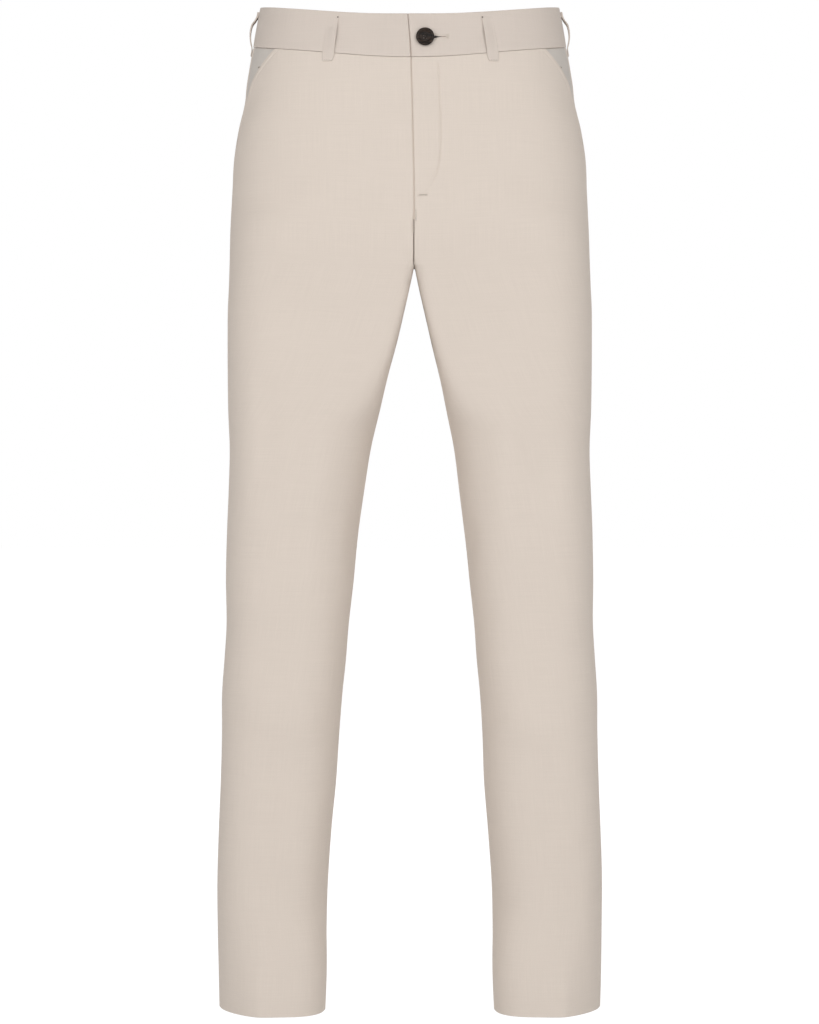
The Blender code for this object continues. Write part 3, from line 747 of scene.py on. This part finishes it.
def make_front(side, look):
    columns = paced(*FRONT_COLUMNS[side], *FRONT_LAST_COLUMNS)
    if side < 0:
        columns = np.concatenate((np.arange(-UNDERLAP_COLUMNS, 0.0), columns))

    def place(side_z, columns):
        at_seam, seam_z, start, line = front_columns(side, side_z, columns)

        def arc_at(z):
            return at_seam + side_seam(z) - side_seam(seam_z)

        arc, z = on_panel(arc_at, side_z, 1.0 - np.clip(columns / FRONT_WIDE, 0.0, 1.0))
        from_centre = at_seam - start + SEAM / 2
        from_side = side_seam(z) - mouth(side_z) - arc
        opened = ease((side_z - MOUTH_BOTTOM + 0.004) / 0.010)
        lift = mouth_lift(side_z, from_side, opened) + inner_press(z, from_centre)
        if side > 0:
            sewn = 1.0 - ease((z - LAP_END) / 0.006)
            lift = lift + over_lift(z, from_centre)
        else:
            deep = ease((side_z - FLY_BOTTOM + 0.006) / 0.006)
            sewn = 1.0 - deep
            lift = lift + under_lift(z, deep, line, from_centre)
        past = closing(from_side) * (1 - opened) - closing(from_centre) * sewn
        outside, inside = panel_faces(side, arc, z, side_z, lift, (from_centre, from_side), past)
        return outside, inside, arc, z

    name = NAMES[side]
    rows = panel_rows(FLY_ROWS if side > 0 else CROTCH_ROWS)
    piece = cut_cloth(f"trouser_front_{name}", rows, columns, place, look, "linen", f"front_{name}")


def make_back(side, look):
    def place(side_z, columns):
        seam_z = row_height(side_z, np.ones(np.shape(side_z)), 1.0)
        start, end = side_seam(seam_z) + SEAM / 2, length(seam_z) + inseam(seam_z) - SEAM / 2
        at_seam = even_out(columns, start, end, 0.006, 0.006)

        def arc_at(z):
            return at_seam + side_seam(z) - side_seam(seam_z)

        arc, z = on_panel(arc_at, side_z, columns / BACK_WIDE)
        from_side = arc - side_seam(z)
        from_centre = end - at_seam + SEAM / 2
        lift = PRESS * pressed(from_side) - seam_dip(from_side, near_mouth(side_z))
        lift = lift - seam_dip(from_centre) + inner_press(z, from_centre)
        past = closing(from_centre) - closing(from_side)
        outside, inside = panel_faces(side, arc, z, side_z, lift, (from_side, from_centre), past)
        return outside, inside, arc, z

    name = NAMES[side]
    rows, columns = panel_rows(CROTCH_ROWS), paced(*BACK_COLUMNS)
    piece = cut_cloth(f"trouser_back_{name}", rows, columns, place, look, "linen", f"back_{name}")


def make_facing(side, look):
    """The cloth in a pocket's mouth. Its hidden part lies under the front."""
    top = -BAND_HEIGHT - SEAM
    rows = -paced((-top, 0.0004), (-top + 0.004, 0.0020), (-FACING_BOTTOM, 0.0020))
    columns = np.linspace(0.0, 1.0, 33)
    hidden = 0.4

    def place(side_z, columns):
        opening = mouth(side_z)
        lip = np.maximum(opening - FACING_LIP, 2 * SEAM)
        under = opening + FACING_UNDER
        covered = under + (lip - under) * columns / hidden
        seen = lip + (SEAM - lip) * (columns - hidden) / (1.0 - hidden)
        back = np.where(columns < hidden, covered, seen)
        arc, z = on_panel(lambda z: side_seam(z) - back, side_z, np.zeros(np.shape(back)))
        shown = ease((lip - back) / lip) * ease(opening / FACING_UNDER)
        lift = -UNDER * (1.0 - shown) - shown * seam_dip(back) - seam_dip(top - side_z)
        outside, normal = garment(side, arc, z, lift)
        return outside, outside - normal * FACING_WALL, arc, z

    name = NAMES[side]
    node = f"pocket_facing_{name}"
    piece = cut_cloth(f"{node}_cloth", rows, columns, place, look, "facing", node)


def band_end(down):
    """How far past the middle the band's left end reaches."""
    return BAND_SLANT * (1.0 - ease(down / 0.040))


def slit_gape(arc):
    """Half of how far the buttonhole gapes."""
    return 0.00018 + SLIT_GAPE * ease((SLIT_OPEN - arc) / 0.0062) ** 1.5


def band_lift(side, arc, down):
    """Height of the band's outside over the panels' surface."""
    lift = BAND_PROUD + 0.0005 * np.sin(math.pi * np.clip(down / BAND_HEIGHT, 0, 1)) ** 0.7
    lift = lift - roll(down, 0.0009) - 0.6 * seam_dip(BAND_HEIGHT - SEAM - down)
    if side < 0:
        duck = DUCK * (0.45 + 0.55 * ease(down / 0.038))
        return lift - BAND_UNDER * ease((band_end(down) + duck - arc) / duck)
    arc = arc + band_end(down)
    lift = lift - roll(arc, 0.0008) + 0.00025 * np.exp(-(((arc - 0.003) / 0.003) ** 2))
    from_slit = down - BUTTON_BELOW_TOP
    along = ease((arc - SLIT[0]) / 0.001) * ease((SLIT[1] - arc) / 0.0015)
    gape = slit_gape(arc)
    lips = np.exp(-(((np.abs(from_slit) - gape - 0.0009) / 0.0009) ** 2))
    slit = 1.0 / (1.0 + np.exp(np.clip((np.abs(from_slit) - gape) / 0.00009, -40, 40)))
    return lift + along * (0.00028 * lips - SLIT_DEEP * slit)


def make_band(side, look):
    total = float(length(WAIST_LEVEL)) - SEAM / 2
    arcs = paced(*BAND_FIRST_COLUMNS[side], (total - 0.006, 0.0028), (total, 0.0003))
    downs = paced(*BAND_ROWS[side], (0.041, 0.0008), (BAND_HEIGHT - SEAM, 0.0003))

    def place(down, arc):
        if side > 0:
            arc = arc - band_end(down) * ease((0.012 - arc) / 0.011)
        share = arc / length(WAIST_LEVEL)
        arc, z = np.broadcast_arrays(arc, on_band(share, down))
        lift = band_lift(side, arc, down) - seam_dip(total - arc)
        outside = garment(side, share * length(z), z, lift)[0]
        depth = BAND_WALL - roll(down, 0.0007)
        inside = garment(side, share * length(z) + closing(total - arc), z, lift - depth)[0]
        return outside, inside, z, arc

    name = NAMES[side]
    node = f"waistband_{name}"
    piece = cut_cloth(f"{node}_cloth", downs, arcs, place, look, "linen", node)


def loop_points(side, where, across, down, depth=0.0):
    """Points of a belt loop, across it in metres from its middle and down it as a share."""
    ring = float(length(WAIST_LEVEL))
    place, flat = LOOP_PLACES[where], LOOP_FLAT[where]
    stands = (1.0 - flat * ease(across / LOOP_WIDTH + 0.5)) * (1.0 - 0.6 * flat)
    tuck = 1.0 - 0.26 * np.clip((down - 0.86) / 0.14, 0.0, 1.0) ** 2.5
    arc = place + across * tuck - LOOP_LEAN[where] * (1.0 - down)
    top = float(waist_dip(np.array(place / ring))) - LOOP_BELOW_TOP
    tall = BAND_HEIGHT + float(band_drop(place / ring)) - LOOP_BELOW_TOP + LOOP_BELOW_SEAM
    arc, z, down = np.broadcast_arrays(arc, top - tall * down, down)
    shares, lifts = zip(*LOOP_ARCH)
    lift = smooth_through(shares, lifts, down) * stands
    stands = stands * (1.0 - 0.65 * ease((down - 0.70) / 0.15))
    lift = lift + LOOP_WALL * (0.35 + 0.65 * stands) - depth * (0.4 + 0.6 * stands)
    return garment(side, arc / ring * length(z), z, lift)


def make_loop(side, where, look):
    half = LOOP_WIDTH / 2
    tall = BAND_HEIGHT - LOOP_BELOW_TOP + LOOP_BELOW_SEAM
    edge = ((0.0, 0.00012), (0.001, 0.0004), (LOOP_STITCH, 0.0004), (half, 0.0012))
    near = [(inset - half, step) for inset, step in edge]
    far = [(half - inset, step) for inset, step in edge[2::-1]]
    end = ((0.0, 0.003), (0.03, 0.012), (0.1, 0.016))
    down = paced(*end, *((1.0 - share, step) for share, step in end[::-1]))

    def place(down, across):
        edge = half - np.abs(across)
        end = np.minimum(down, 1.0 - down) * tall
        dip = roll(edge, 0.0006) + roll(end, 0.0007)
        dip = dip + 0.0002 * np.exp(-(((edge - LOOP_STITCH) / 0.0006) ** 2))
        thick = 0.75 * LOOP_WALL + 0.0006 * (1.0 - ease((end - 0.004) / 0.003))
        outside = loop_points(side, where, across, down, dip)[0]
        inside = loop_points(side, where, across, down, thick)[0]
        down, across = np.broadcast_arrays(down, across)
        return outside, inside, across, down * tall

    name = NAMES[side]
    node = f"belt_loop_{where}_{name}"
    piece = cut_cloth(f"{node}_cloth", down, paced(*near, *far), place, look, "linen", node)


# Stitching


def loop_corner_shadow_tacks():
    """Dark stitches at the top inner corner of each front loop, painted shadow of the gap under its
    folded top.
    """
    across = np.linspace(-LOOP_WIDTH / 2 - 0.0003, -LOOP_WIDTH / 2 + 0.0013, 3)
    return [
        (*loop_points(side, "front", across, np.full(3, down), -0.0001), 0.0016, 0.0016)
        for side in (-1, 1)
        for down in (0.010, 0.022, 0.034)
    ]


def loop_end_stitches_and_shadow():
    """The stitching across the lower end of each front loop, its dark thread partly painted shadow
    under the loop's end.
    """
    across, down = np.linspace(-0.34, 0.34, 9) * LOOP_WIDTH, np.full(9, 0.975)
    return [(*loop_points(side, "front", across, down), 0.0013, 0.0015) for side in (-1, 1)]


def band_points(arcs, downs, lift):
    """Points and normals over the left band, at heights down from its top."""
    share = np.asarray(arcs, float) / float(length(WAIST_LEVEL))
    z = on_band(share, np.asarray(downs, float))
    return garment(1, share * length(z), z, lift)


def shank_and_slit_shade_threads():
    """Dark threads from under the button along the buttonhole's gaping end, painted shade of the
    open slit.
    """
    runs = []
    ends = (0.0272, -0.0007), (0.0290, -0.0003), (0.0302, 0.0), (0.0286, 0.0004), (0.0268, 0.0008)
    for end, off in ends:
        arcs = np.linspace(BUTTON_ARC + 0.006, end, 7)
        downs = BUTTON_BELOW_TOP + off * np.linspace(1.4, 0.5, 7)
        runs.append((*band_points(arcs, downs, BAND_PROUD + 0.0002), 0.0030, 0.0016))
    return runs


def cleft_shadow_stitches():
    """Stitches of the centre seam deep under the fly, their near-black thread painted shadow of its
    trench.
    """
    z = np.linspace(-0.2270, FORK + 0.0015, 60)
    return [(*garment(-1, np.full(60, 0.0004), z, -0.0005), 0.0034, 0.0024)]


def fly_stitches():
    return [(*garment(1, *fly_line(120).T, -0.00025), 0.0024, 0.0030)]


def fly_bars():
    """The bartack at the end of the fly's stitching and the one at its foot."""
    return bar(1, 0.0088, -0.2045, 0.0042, False) + bar(1, 0.0014, -0.2235, 0.0050, True)


def mouth_bars():
    """The bartack near the top of each pocket mouth and the one at its end."""
    runs = []
    for side in (-1, 1):
        for z, half, upright in ((-0.0745, 0.0022, False), (MOUTH_BOTTOM + 0.002, 0.0045, True)):
            level = z - float(waist_dip(side_seam(z) / length(z))) * (not upright)
            arc = float(side_seam(z) - mouth(level)) - 0.0024
            runs += bar(side, arc, z, half, upright)
    return runs


def one_stitch():
    """A stitch's round body, 1 long and 1 thick."""
    bm = bmesh.new()
    bmesh.ops.create_uvsphere(bm, u_segments=6, v_segments=4, radius=0.5)
    bmesh.ops.rotate(bm, verts=bm.verts, matrix=Matrix.Rotation(math.pi / 2, 3, "Y"))
    body = bpy.data.meshes.new("stitch")
    bm.to_mesh(body)
    bm.free()
    return body


def along_run(run, places, at):
    return Vector([np.interp(at, run, places[:, i]) for i in range(3)])


def lay_stitches(name, runs, look, thick=0.00030, slot="linen"):
    """One mesh of all the stitches. runs are (points, normals, stitch length, pitch) of lines."""
    bm = bmesh.new()
    body = one_stitch()
    for points, normals, long, pitch in runs:
        steps = np.linalg.norm(np.diff(points, axis=0), axis=1)
        run = np.concatenate(([0.0], np.cumsum(steps)))
        count = max(int(run[-1] / pitch), 1)
        for k in range(count):
            middle = (k + 0.5) * run[-1] / count
            start, end = (along_run(run, points, middle + o) for o in (-long / 2, long / 2))
            normal = along_run(run, normals, middle).normalized()
            forward = (end - start).normalized()
            sideways = normal.cross(forward).normalized()
            turn = Matrix((forward, sideways, forward.cross(sideways))).transposed().to_4x4()
            size = Matrix.Diagonal((long, thick, thick * 0.8, 1.0))
            place = Matrix.Translation((start + end) / 2 + normal * thick * 0.15) @ turn @ size
            before = len(bm.verts)
            bm.from_mesh(body)
            bm.verts.ensure_lookup_table()
            bmesh.ops.transform(bm, matrix=place, verts=bm.verts[before:])
    bpy.data.meshes.remove(body)
    return finish_mesh(name, bm, look, slot)


def bar(side, arc, z, half, upright, rows=11):
    """A bartack: short stitches side by side."""
    runs = []
    spread = np.linspace(-0.0009, 0.0009, 3)
    for t in np.linspace(-half, half, rows):
        arcs, heights = (arc + spread, z + t) if upright else (arc + t, z + spread)
        runs.append((*garment(side, arcs, heights, 0.0003), 0.0018, 0.0018))
    return runs


# Looks


def socket_value(tree, socket, value):
    if isinstance(value, bpy.types.NodeSocket):
        tree.links.new(value, socket)
    else:
        socket.default_value = value


def add_node(tree, kind, inputs=None, **settings):
    node = tree.nodes.new(kind)
    for key, value in settings.items():
        setattr(node, key, value)
    for key, value in (inputs or {}).items():
        socket_value(tree, node.inputs[key], value)
    return node


def sum_of(tree, operation, *values):
    node = add_node(tree, "ShaderNodeMath", operation=operation)
    for socket, value in zip(node.inputs, values):
        socket_value(tree, socket, value)
    return node.outputs[0]


def blend_colours(tree, share, first, second):
    node = add_node(tree, "ShaderNodeMix", data_type="RGBA")
    socket_value(tree, node.inputs[0], share)
    socket_value(tree, node.inputs[6], first)
    socket_value(tree, node.inputs[7], second)
    return node.outputs[2]


def mixed(tree, share, first, second):
    """first where share is 0, second where it is 1."""
    node = add_node(tree, "ShaderNodeMix", data_type="FLOAT")
    for socket, value in zip((0, 2, 3), (share, first, second)):
        socket_value(tree, node.inputs[socket], value)
    return node.outputs[0]


def add_bump(tree, shader, strength, distance, height):
    values = {"Strength": strength, "Distance": distance, "Height": height}
    bump = add_node(tree, "ShaderNodeBump", values)
    tree.links.new(bump.outputs[0], shader.inputs["Normal"])


def new_look(name, **values):
    look = bpy.data.materials.new(name)
    look.use_nodes = True
    shader = look.node_tree.nodes["Principled BSDF"]
    for key, value in values.items():
        shader.inputs[key.replace("_", " ").title().replace("Ior", "IOR")].default_value = value
    return look, look.node_tree, shader


def streaks(tree, along, down, wide, long, seed=0.0):
    """Noise drawn out along the threads, from 0 to 1."""
    x, y = sum_of(tree, "DIVIDE", along, wide), sum_of(tree, "DIVIDE", down, long)
    where = add_node(tree, "ShaderNodeCombineXYZ", {"X": x, "Y": y, "Z": seed})
    values = {"Vector": where.outputs[0], "Scale": 1.0, "Detail": 2.0, "Roughness": 0.55}
    return add_node(tree, "ShaderNodeTexNoise", values).outputs[0]


def woven_look(name, light, dark, pitch=0.00058, rough=0.80):
    """Plain-woven linen: round warp and weft threads of uneven thickness and tone, lighter on their
    crowns and darker in the hollows between them as painted shade.
    """
    sheen = {"sheen_weight": 0.04, "sheen_roughness": 0.45}
    look, tree, shader = new_look(name, roughness=rough, specular_ior_level=0.15, **sheen)
    place = add_node(tree, "ShaderNodeUVMap", uv_map="Weave")
    split = add_node(tree, "ShaderNodeSeparateXYZ", {"Vector": place.outputs[0]})
    along, down = split.outputs[0], split.outputs[1]
    sway = sum_of(tree, "MULTIPLY", streaks(tree, along, down, 0.004, 0.030), 0.0009)
    drift = sum_of(tree, "MULTIPLY", streaks(tree, along, down, 0.030, 0.004, seed=5.0), 0.0009)
    turn = math.pi / pitch
    warp = sum_of(tree, "SINE", sum_of(tree, "MULTIPLY", sum_of(tree, "ADD", along, sway), turn))
    weft = sum_of(tree, "SINE", sum_of(tree, "MULTIPLY", sum_of(tree, "ADD", down, drift), turn))
    over = sum_of(tree, "MULTIPLY_ADD", sum_of(tree, "MULTIPLY", warp, weft), 2.2, 0.5)
    over = add_node(tree, "ShaderNodeClamp", {"Value": over}).outputs[0]
    warp_slub = streaks(tree, along, down, 0.0008, 0.045, seed=1.0)
    weft_slub = streaks(tree, along, down, 0.045, 0.0008, seed=2.0)
    highs = []
    for wave, slub in ((warp, warp_slub), (weft, weft_slub)):
        wave, slub = sum_of(tree, "ABSOLUTE", wave), sum_of(tree, "ADD", slub, 0.4)
        highs.append(sum_of(tree, "MULTIPLY", wave, slub))
    high = mixed(tree, over, highs[1], highs[0])
    thread = mixed(tree, over, weft_slub, warp_slub)
    body = add_node(tree, "ShaderNodeTexCoord").outputs["Object"]
    cloud = add_node(tree, "ShaderNodeTexNoise", {"Vector": body, "Scale": 9.0, "Detail": 3.0})
    # The colour follows the threads' uneven tone, and their height as painted shade: crowns
    # lighter, hollows darker
    shade = sum_of(tree, "MULTIPLY_ADD", thread, 0.60, sum_of(tree, "MULTIPLY", high, 0.45))
    shade = sum_of(tree, "SUBTRACT", shade, 0.18)
    shade = sum_of(tree, "MULTIPLY_ADD", cloud.outputs[0], 0.22, shade)
    shade = add_node(tree, "ShaderNodeClamp", {"Value": shade}).outputs[0]
    colour = blend_colours(tree, shade, (*dark, 1.0), (*light, 1.0))
    tree.links.new(colour, shader.inputs["Base Color"])
    dull = sum_of(tree, "MULTIPLY_ADD", high, -0.12, rough + 0.08)
    tree.links.new(dull, shader.inputs["Roughness"])
    add_bump(tree, shader, 0.55, 0.00012, high)
    return look


def thread_look(name, light, dark):
    """Twisted sewing thread."""
    look, tree, shader = new_look(name, roughness=0.6, sheen_weight=0.15, specular_ior_level=0.35)
    place = add_node(tree, "ShaderNodeTexCoord").outputs["Object"]
    values = {"Vector": place, "Scale": 4200.0, "Detail": 1.0}
    twist = add_node(tree, "ShaderNodeTexNoise", values).outputs[0]
    shade = blend_colours(tree, twist, (*dark, 1.0), (*light, 1.0))
    tree.links.new(shade, shader.inputs["Base Color"])
    add_bump(tree, shader, 0.5, 0.00006, twist)
    return look


def horn_look():
    """Dark polished horn with drawn-out paler streaks."""
    gloss = {"roughness": 0.24, "specular_ior_level": 0.10}
    coat = {"coat_weight": 0.03, "coat_roughness": 0.08}
    look, tree, shader = new_look("polished_horn", **gloss, **coat)
    place = add_node(tree, "ShaderNodeTexCoord").outputs["Object"]
    values = {"Vector": place, "Rotation": (0.0, 0.6, 0.0), "Scale": (90.0, 90.0, 420.0)}
    drawn = add_node(tree, "ShaderNodeMapping", values).outputs[0]
    values = {"Vector": drawn, "Scale": 1.6, "Detail": 5.0, "Distortion": 0.8}
    grain = add_node(tree, "ShaderNodeTexNoise", values).outputs[0]
    ramp = add_node(tree, "ShaderNodeValToRGB", {"Fac": grain})
    ramp.color_ramp.elements[0].position = 0.42
    ramp.color_ramp.elements[0].color = (0.006, 0.0045, 0.0035, 1.0)
    ramp.color_ramp.elements[1].position = 0.72
    ramp.color_ramp.elements[1].color = (0.052, 0.033, 0.024, 1.0)
    tree.links.new(ramp.outputs[0], shader.inputs["Base Color"])
    rough = sum_of(tree, "MULTIPLY_ADD", grain, 0.2, 0.22)
    tree.links.new(rough, shader.inputs["Roughness"])
    add_bump(tree, shader, 0.15, 0.0001, grain)
    return look


# Button


def turned_disc():
    """The button's solid disc, lying flat at the origin."""
    points = np.array(BUTTON_PROFILE) * (BUTTON_RADIUS, BUTTON_THICK)
    ends = len(points) - 1
    bm = bmesh.new()
    last = None
    for x, z in smooth_through(np.arange(ends + 1), points, np.linspace(0, ends, 57)):
        vert = bm.verts.new((max(x, 0.0), 0.0, z))
        if last is not None:
            bm.edges.new((last, vert))
        last = vert
    whole = {"angle": math.tau, "steps": 72, "use_merge": True}
    bmesh.ops.spin(bm, geom=bm.verts[:] + bm.edges[:], cent=(0, 0, 0), axis=(0, 0, 1), **whole)
    bmesh.ops.remove_doubles(bm, verts=bm.verts, dist=0.000002)
    face_outward(bm)
    return bm


def hole_centres():
    out = Vector((HOLE_OUT, 0, 0))
    return [Matrix.Rotation(math.radians(45 + 90 * k), 3, "Z") @ out for k in range(4)]


def add_pin(bm, bottom, top, depth, place):
    ends = {"radius1": bottom, "radius2": top, "depth": depth}
    pin = bmesh.ops.create_cone(bm, cap_ends=True, segments=20, **ends)
    bmesh.ops.transform(bm, matrix=place, verts=pin["verts"])


def drilled_disc():
    """The disc with its four holes."""
    disc = link_object("disc", turned_disc())
    bm = bmesh.new()
    for centre in hole_centres():
        add_pin(bm, HOLE_RADIUS, HOLE_RADIUS, 4 * BUTTON_THICK, Matrix.Translation(centre))
    holes = link_object("holes", bm)
    cut = disc.modifiers.new("holes", "BOOLEAN")
    cut.operation, cut.solver, cut.object = "DIFFERENCE", "EXACT", holes
    bpy.context.view_layer.update()
    graph = bpy.context.evaluated_depsgraph_get()
    mesh = bpy.data.meshes.new_from_object(disc.evaluated_get(graph))
    bm = bmesh.new()
    bm.from_mesh(mesh)
    for extra in (disc, holes):
        bpy.data.objects.remove(extra)
    return bm


def button_threads(place, normal):
    """Two crossed threads, sunk into the holes at their ends."""
    runs = []
    centres = hole_centres()
    for first, second in ((0, 2), (1, 3)):
        points = []
        for s in np.linspace(0.0, 1.0, 9):
            flat = centres[first].lerp(centres[second], s)
            sunk = 0.0004 * (s in (0.0, 1.0))
            high = BUTTON_PROFILE[0][1] * BUTTON_THICK + 0.0005 * math.sin(math.pi * s) - sunk
            points.append(place @ Vector((flat.x, flat.y, high)))
        runs.append((np.array(points), np.repeat(np.array([normal]), 9, axis=0), 0.0042, 0.0042))
    return runs


def make_button(look, thread):
    point, normal = band_points(BUTTON_ARC, BUTTON_BELOW_TOP, BAND_PROUD + BUTTON_LIFT)
    turn = Vector(normal).to_track_quat("Z", "Y").to_matrix().to_4x4()
    place = Matrix.Translation(Vector(point)) @ turn
    bm = drilled_disc()
    bmesh.ops.transform(bm, matrix=place, verts=bm.verts[:])
    finish_mesh("horn_button", bm, look, "horn", "waist_button")
    lay_stitches("button_thread", button_threads(place, normal), thread, 0.00055, "horn")
    bm = bmesh.new()
    add_pin(bm, 0.0016, 0.0013, 0.0024, place @ Matrix.Translation((0, 0, -0.0004)))
    finish_mesh("button_shank", bm, thread, "horn")


def make_zip(tape, coil):
    """Two tapes with a closed coil between them, hidden behind the fly."""
    middle = UNDERLAP / 2
    top = float(waist_dip(0.0)) - BAND_HEIGHT - BAND_DROP - 0.004
    tall, wide = top - ZIP_BOTTOM, ZIP_WIDTH / 2 - ZIP_GAP
    rows, columns = np.linspace(0.0, 1.0, 57), np.linspace(0.0, 1.0, 11)
    for way, name, nodes in ((-1, "inner", ("fly_zip",)), (1, "outer", ())):

        def place(down, across):
            arc = middle + way * (ZIP_GAP + wide * across)
            arc, z = np.broadcast_arrays(arc, top - tall * down)
            lift = -ZIP_UNDER - 0.0003 * np.exp(-((across / 0.15) ** 2))
            outside, normal = garment(1, arc, z, lift)
            return outside, outside - normal * ZIP_WALL, arc, z

        piece = cut_cloth(f"zip_tape_{name}", rows, columns, place, tape, "zip_tape", *nodes)
    runs = []
    for z in np.arange(top - 0.003, ZIP_BOTTOM + 0.003, -COIL_PITCH):
        for way in (-1, 1):
            arcs = middle + way * np.array([-0.0006, 0.0008, 0.0022])
            turn = garment(1, arcs, z + 0.00033 * way, -ZIP_UNDER + 0.0002)
            runs.append((*turn, 0.0028, 0.0028))
    lay_stitches("zip_coil", runs, coil, 0.0008, "zip_tape")


def slit_stitches():
    """Purl stitches round the buttonhole and the bar at its end."""
    runs = []

    def add(arc, downs, lift, long):
        runs.append((*band_points(arc, downs, band_lift(1, arc, downs) + lift), long, long))

    for arc in np.arange(SLIT[0] + 0.0005, SLIT[1], 0.00042):
        for way in (-1, 1):
            reach = float(slit_gape(arc)) + np.linspace(0.0001, 0.0019, 3)
            add(arc, BUTTON_BELOW_TOP + way * reach, 0.00012, 0.0018)
    for arc in np.linspace(SLIT[1] + 0.0002, SLIT[1] + 0.0014, 5):
        add(arc, BUTTON_BELOW_TOP + np.linspace(-0.0028, 0.0028, 5), 0.0002, 0.0056)
    return runs


# Room


def rays_that_see(tree):
    """1 for what the camera, a gloss or clear glass shows of the room, 0 for its light."""
    rays = add_node(tree, "ShaderNodeLightPath").outputs
    shiny = sum_of(tree, "MAXIMUM", rays["Is Glossy Ray"], rays["Is Transmission Ray"])
    return sum_of(tree, "MAXIMUM", rays["Is Camera Ray"], shiny)


def mix_shaders(tree, share, first, second, output):
    mix = add_node(tree, "ShaderNodeMixShader")
    for socket, source in zip(mix.inputs, (share, first.outputs[0], second.outputs[0])):
        tree.links.new(source, socket)
    tree.links.new(mix.outputs[0], tree.nodes[output].inputs[0])


def make_sky():
    world = bpy.data.worlds.new("studio")
    bpy.context.scene.world = world
    world.use_nodes = True
    tree = world.node_tree
    lit = tree.nodes["Background"]
    lit.inputs[0].default_value = (1.0, 1.0, 1.0, 1.0)
    lit.inputs[1].default_value = SKY_POWER
    white = {"Color": (1.0, 1.0, 1.0, 1.0), "Strength": 1.0}
    seen = add_node(tree, "ShaderNodeBackground", white)
    mix_shaders(tree, rays_that_see(tree), lit, seen, "World Output")


def make_floor():
    bm = bmesh.new()
    bmesh.ops.create_grid(bm, x_segments=1, y_segments=1, size=40.0)
    bmesh.ops.translate(bm, verts=bm.verts, vec=(0, 0, HEM - FLOOR_BELOW))
    floor = link_object("floor", bm)
    look, tree, shader = new_look("pale_floor", roughness=0.9)
    shader.inputs["Base Color"].default_value = (0.85, 0.85, 0.85, 1.0)
    glow = add_node(tree, "ShaderNodeEmission", {"Strength": FLOOR_GLOW})
    share = sum_of(tree, "MULTIPLY", rays_that_see(tree), FLOOR_SHARE)
    mix_shaders(tree, share, shader, glow, "Material Output")
    floor.data.materials.append(look)


def make_lamps():
    for name, place, size, power in LAMPS:
        lamp = bpy.data.lights.new(name, "AREA")
        lamp.size = size
        lamp.energy = power
        made = bpy.data.objects.new(name, lamp)
        made.location = place
        made.rotation_euler = (Vector(LAMP_AIM) - Vector(place)).to_track_quat("-Z", "Y").to_euler()
        bpy.context.scene.collection.objects.link(made)


def make_camera():
    camera = bpy.data.objects.new("camera", bpy.data.cameras.new("camera"))
    camera.location = CAMERA_PLACE
    camera.rotation_euler = (math.radians(90.0), 0.0, 0.0)
    camera.data.lens = CAMERA_LENS
    bpy.context.scene.collection.objects.link(camera)
    bpy.context.scene.camera = camera


make_camera()

# Finishes
LINEN = woven_look("linen", (0.740, 0.654, 0.578), (0.626, 0.550, 0.485))
BAND = woven_look("band_linen", (0.689, 0.608, 0.544), (0.583, 0.512, 0.456))
# The facing's linen is darker and greyer than the panels' as painted shade in the pocket mouth
FACING = woven_look("facing_linen_painted_shade", (0.640, 0.592, 0.545), (0.540, 0.497, 0.455))
THREAD = thread_look("linen_thread", (0.72, 0.64, 0.56), (0.55, 0.48, 0.42))
TAPE = woven_look("zip_tape", (0.62, 0.55, 0.46), (0.50, 0.44, 0.37), 0.0005)
COIL = thread_look("coil", (0.66, 0.60, 0.52), (0.52, 0.47, 0.40))
HORN = horn_look()
# Dark brown bartack thread; across the loop ends it also paints the shadow under them
BAR_THREAD = thread_look("bar_thread", (0.40, 0.34, 0.29), (0.28, 0.24, 0.20))
# Near-black brown thread, painted shadow in the centre seam's trench
SEAM_SHADOW_THREAD = thread_look("seam_shadow_thread", (0.22, 0.18, 0.15), (0.15, 0.12, 0.10))
# Near-black thread: real on the button, painted shade in the buttonhole's slit and painted shadow
# at the loop corners
DARK_THREAD_AND_SHADE = thread_look("dark_thread_and_shade", (0.030, 0.022, 0.018), (0.012, 0.010, 0.009))

# Cloth, zip and button
for side in NAMES:
    make_front(side, LINEN)
    make_back(side, LINEN)
    make_facing(side, FACING)
    make_band(side, BAND)
    for where in LOOP_PLACES:
        make_loop(side, where, BAND)
make_zip(TAPE, COIL)
make_button(HORN, DARK_THREAD_AND_SHADE)

# Stitching
lay_stitches("buttonhole_stitching", slit_stitches(), THREAD, 0.00034)
lay_stitches("fly_stitching", fly_stitches(), THREAD)
lay_stitches("fly_bars", fly_bars(), BAR_THREAD)
# Dark threads in the buttonhole's gaping end are painted shade of the open slit
lay_stitches("shank_and_slit_shade_threads", shank_and_slit_shade_threads(), DARK_THREAD_AND_SHADE, 0.00050)
# The centre seam's dark stitches are painted shadow of its trench
lay_stitches("centre_seam_shadow_stitching", cleft_shadow_stitches(), SEAM_SHADOW_THREAD, 0.00070)
# The dark stitches at the front loops' top inner corners are painted shadow
lay_stitches("loop_corner_shadow_tacks", loop_corner_shadow_tacks(), DARK_THREAD_AND_SHADE, 0.00045)
# The loop ends' dark stitching is thread and painted shadow under the loop's end
lay_stitches("loop_end_stitching_and_shadow", loop_end_stitches_and_shadow(), BAR_THREAD, 0.00034)
lay_stitches("pocket_bars", mouth_bars(), BAR_THREAD)

make_sky()
make_floor()
make_lamps()

view = bpy.context.scene.view_settings
view.view_transform = "Standard"
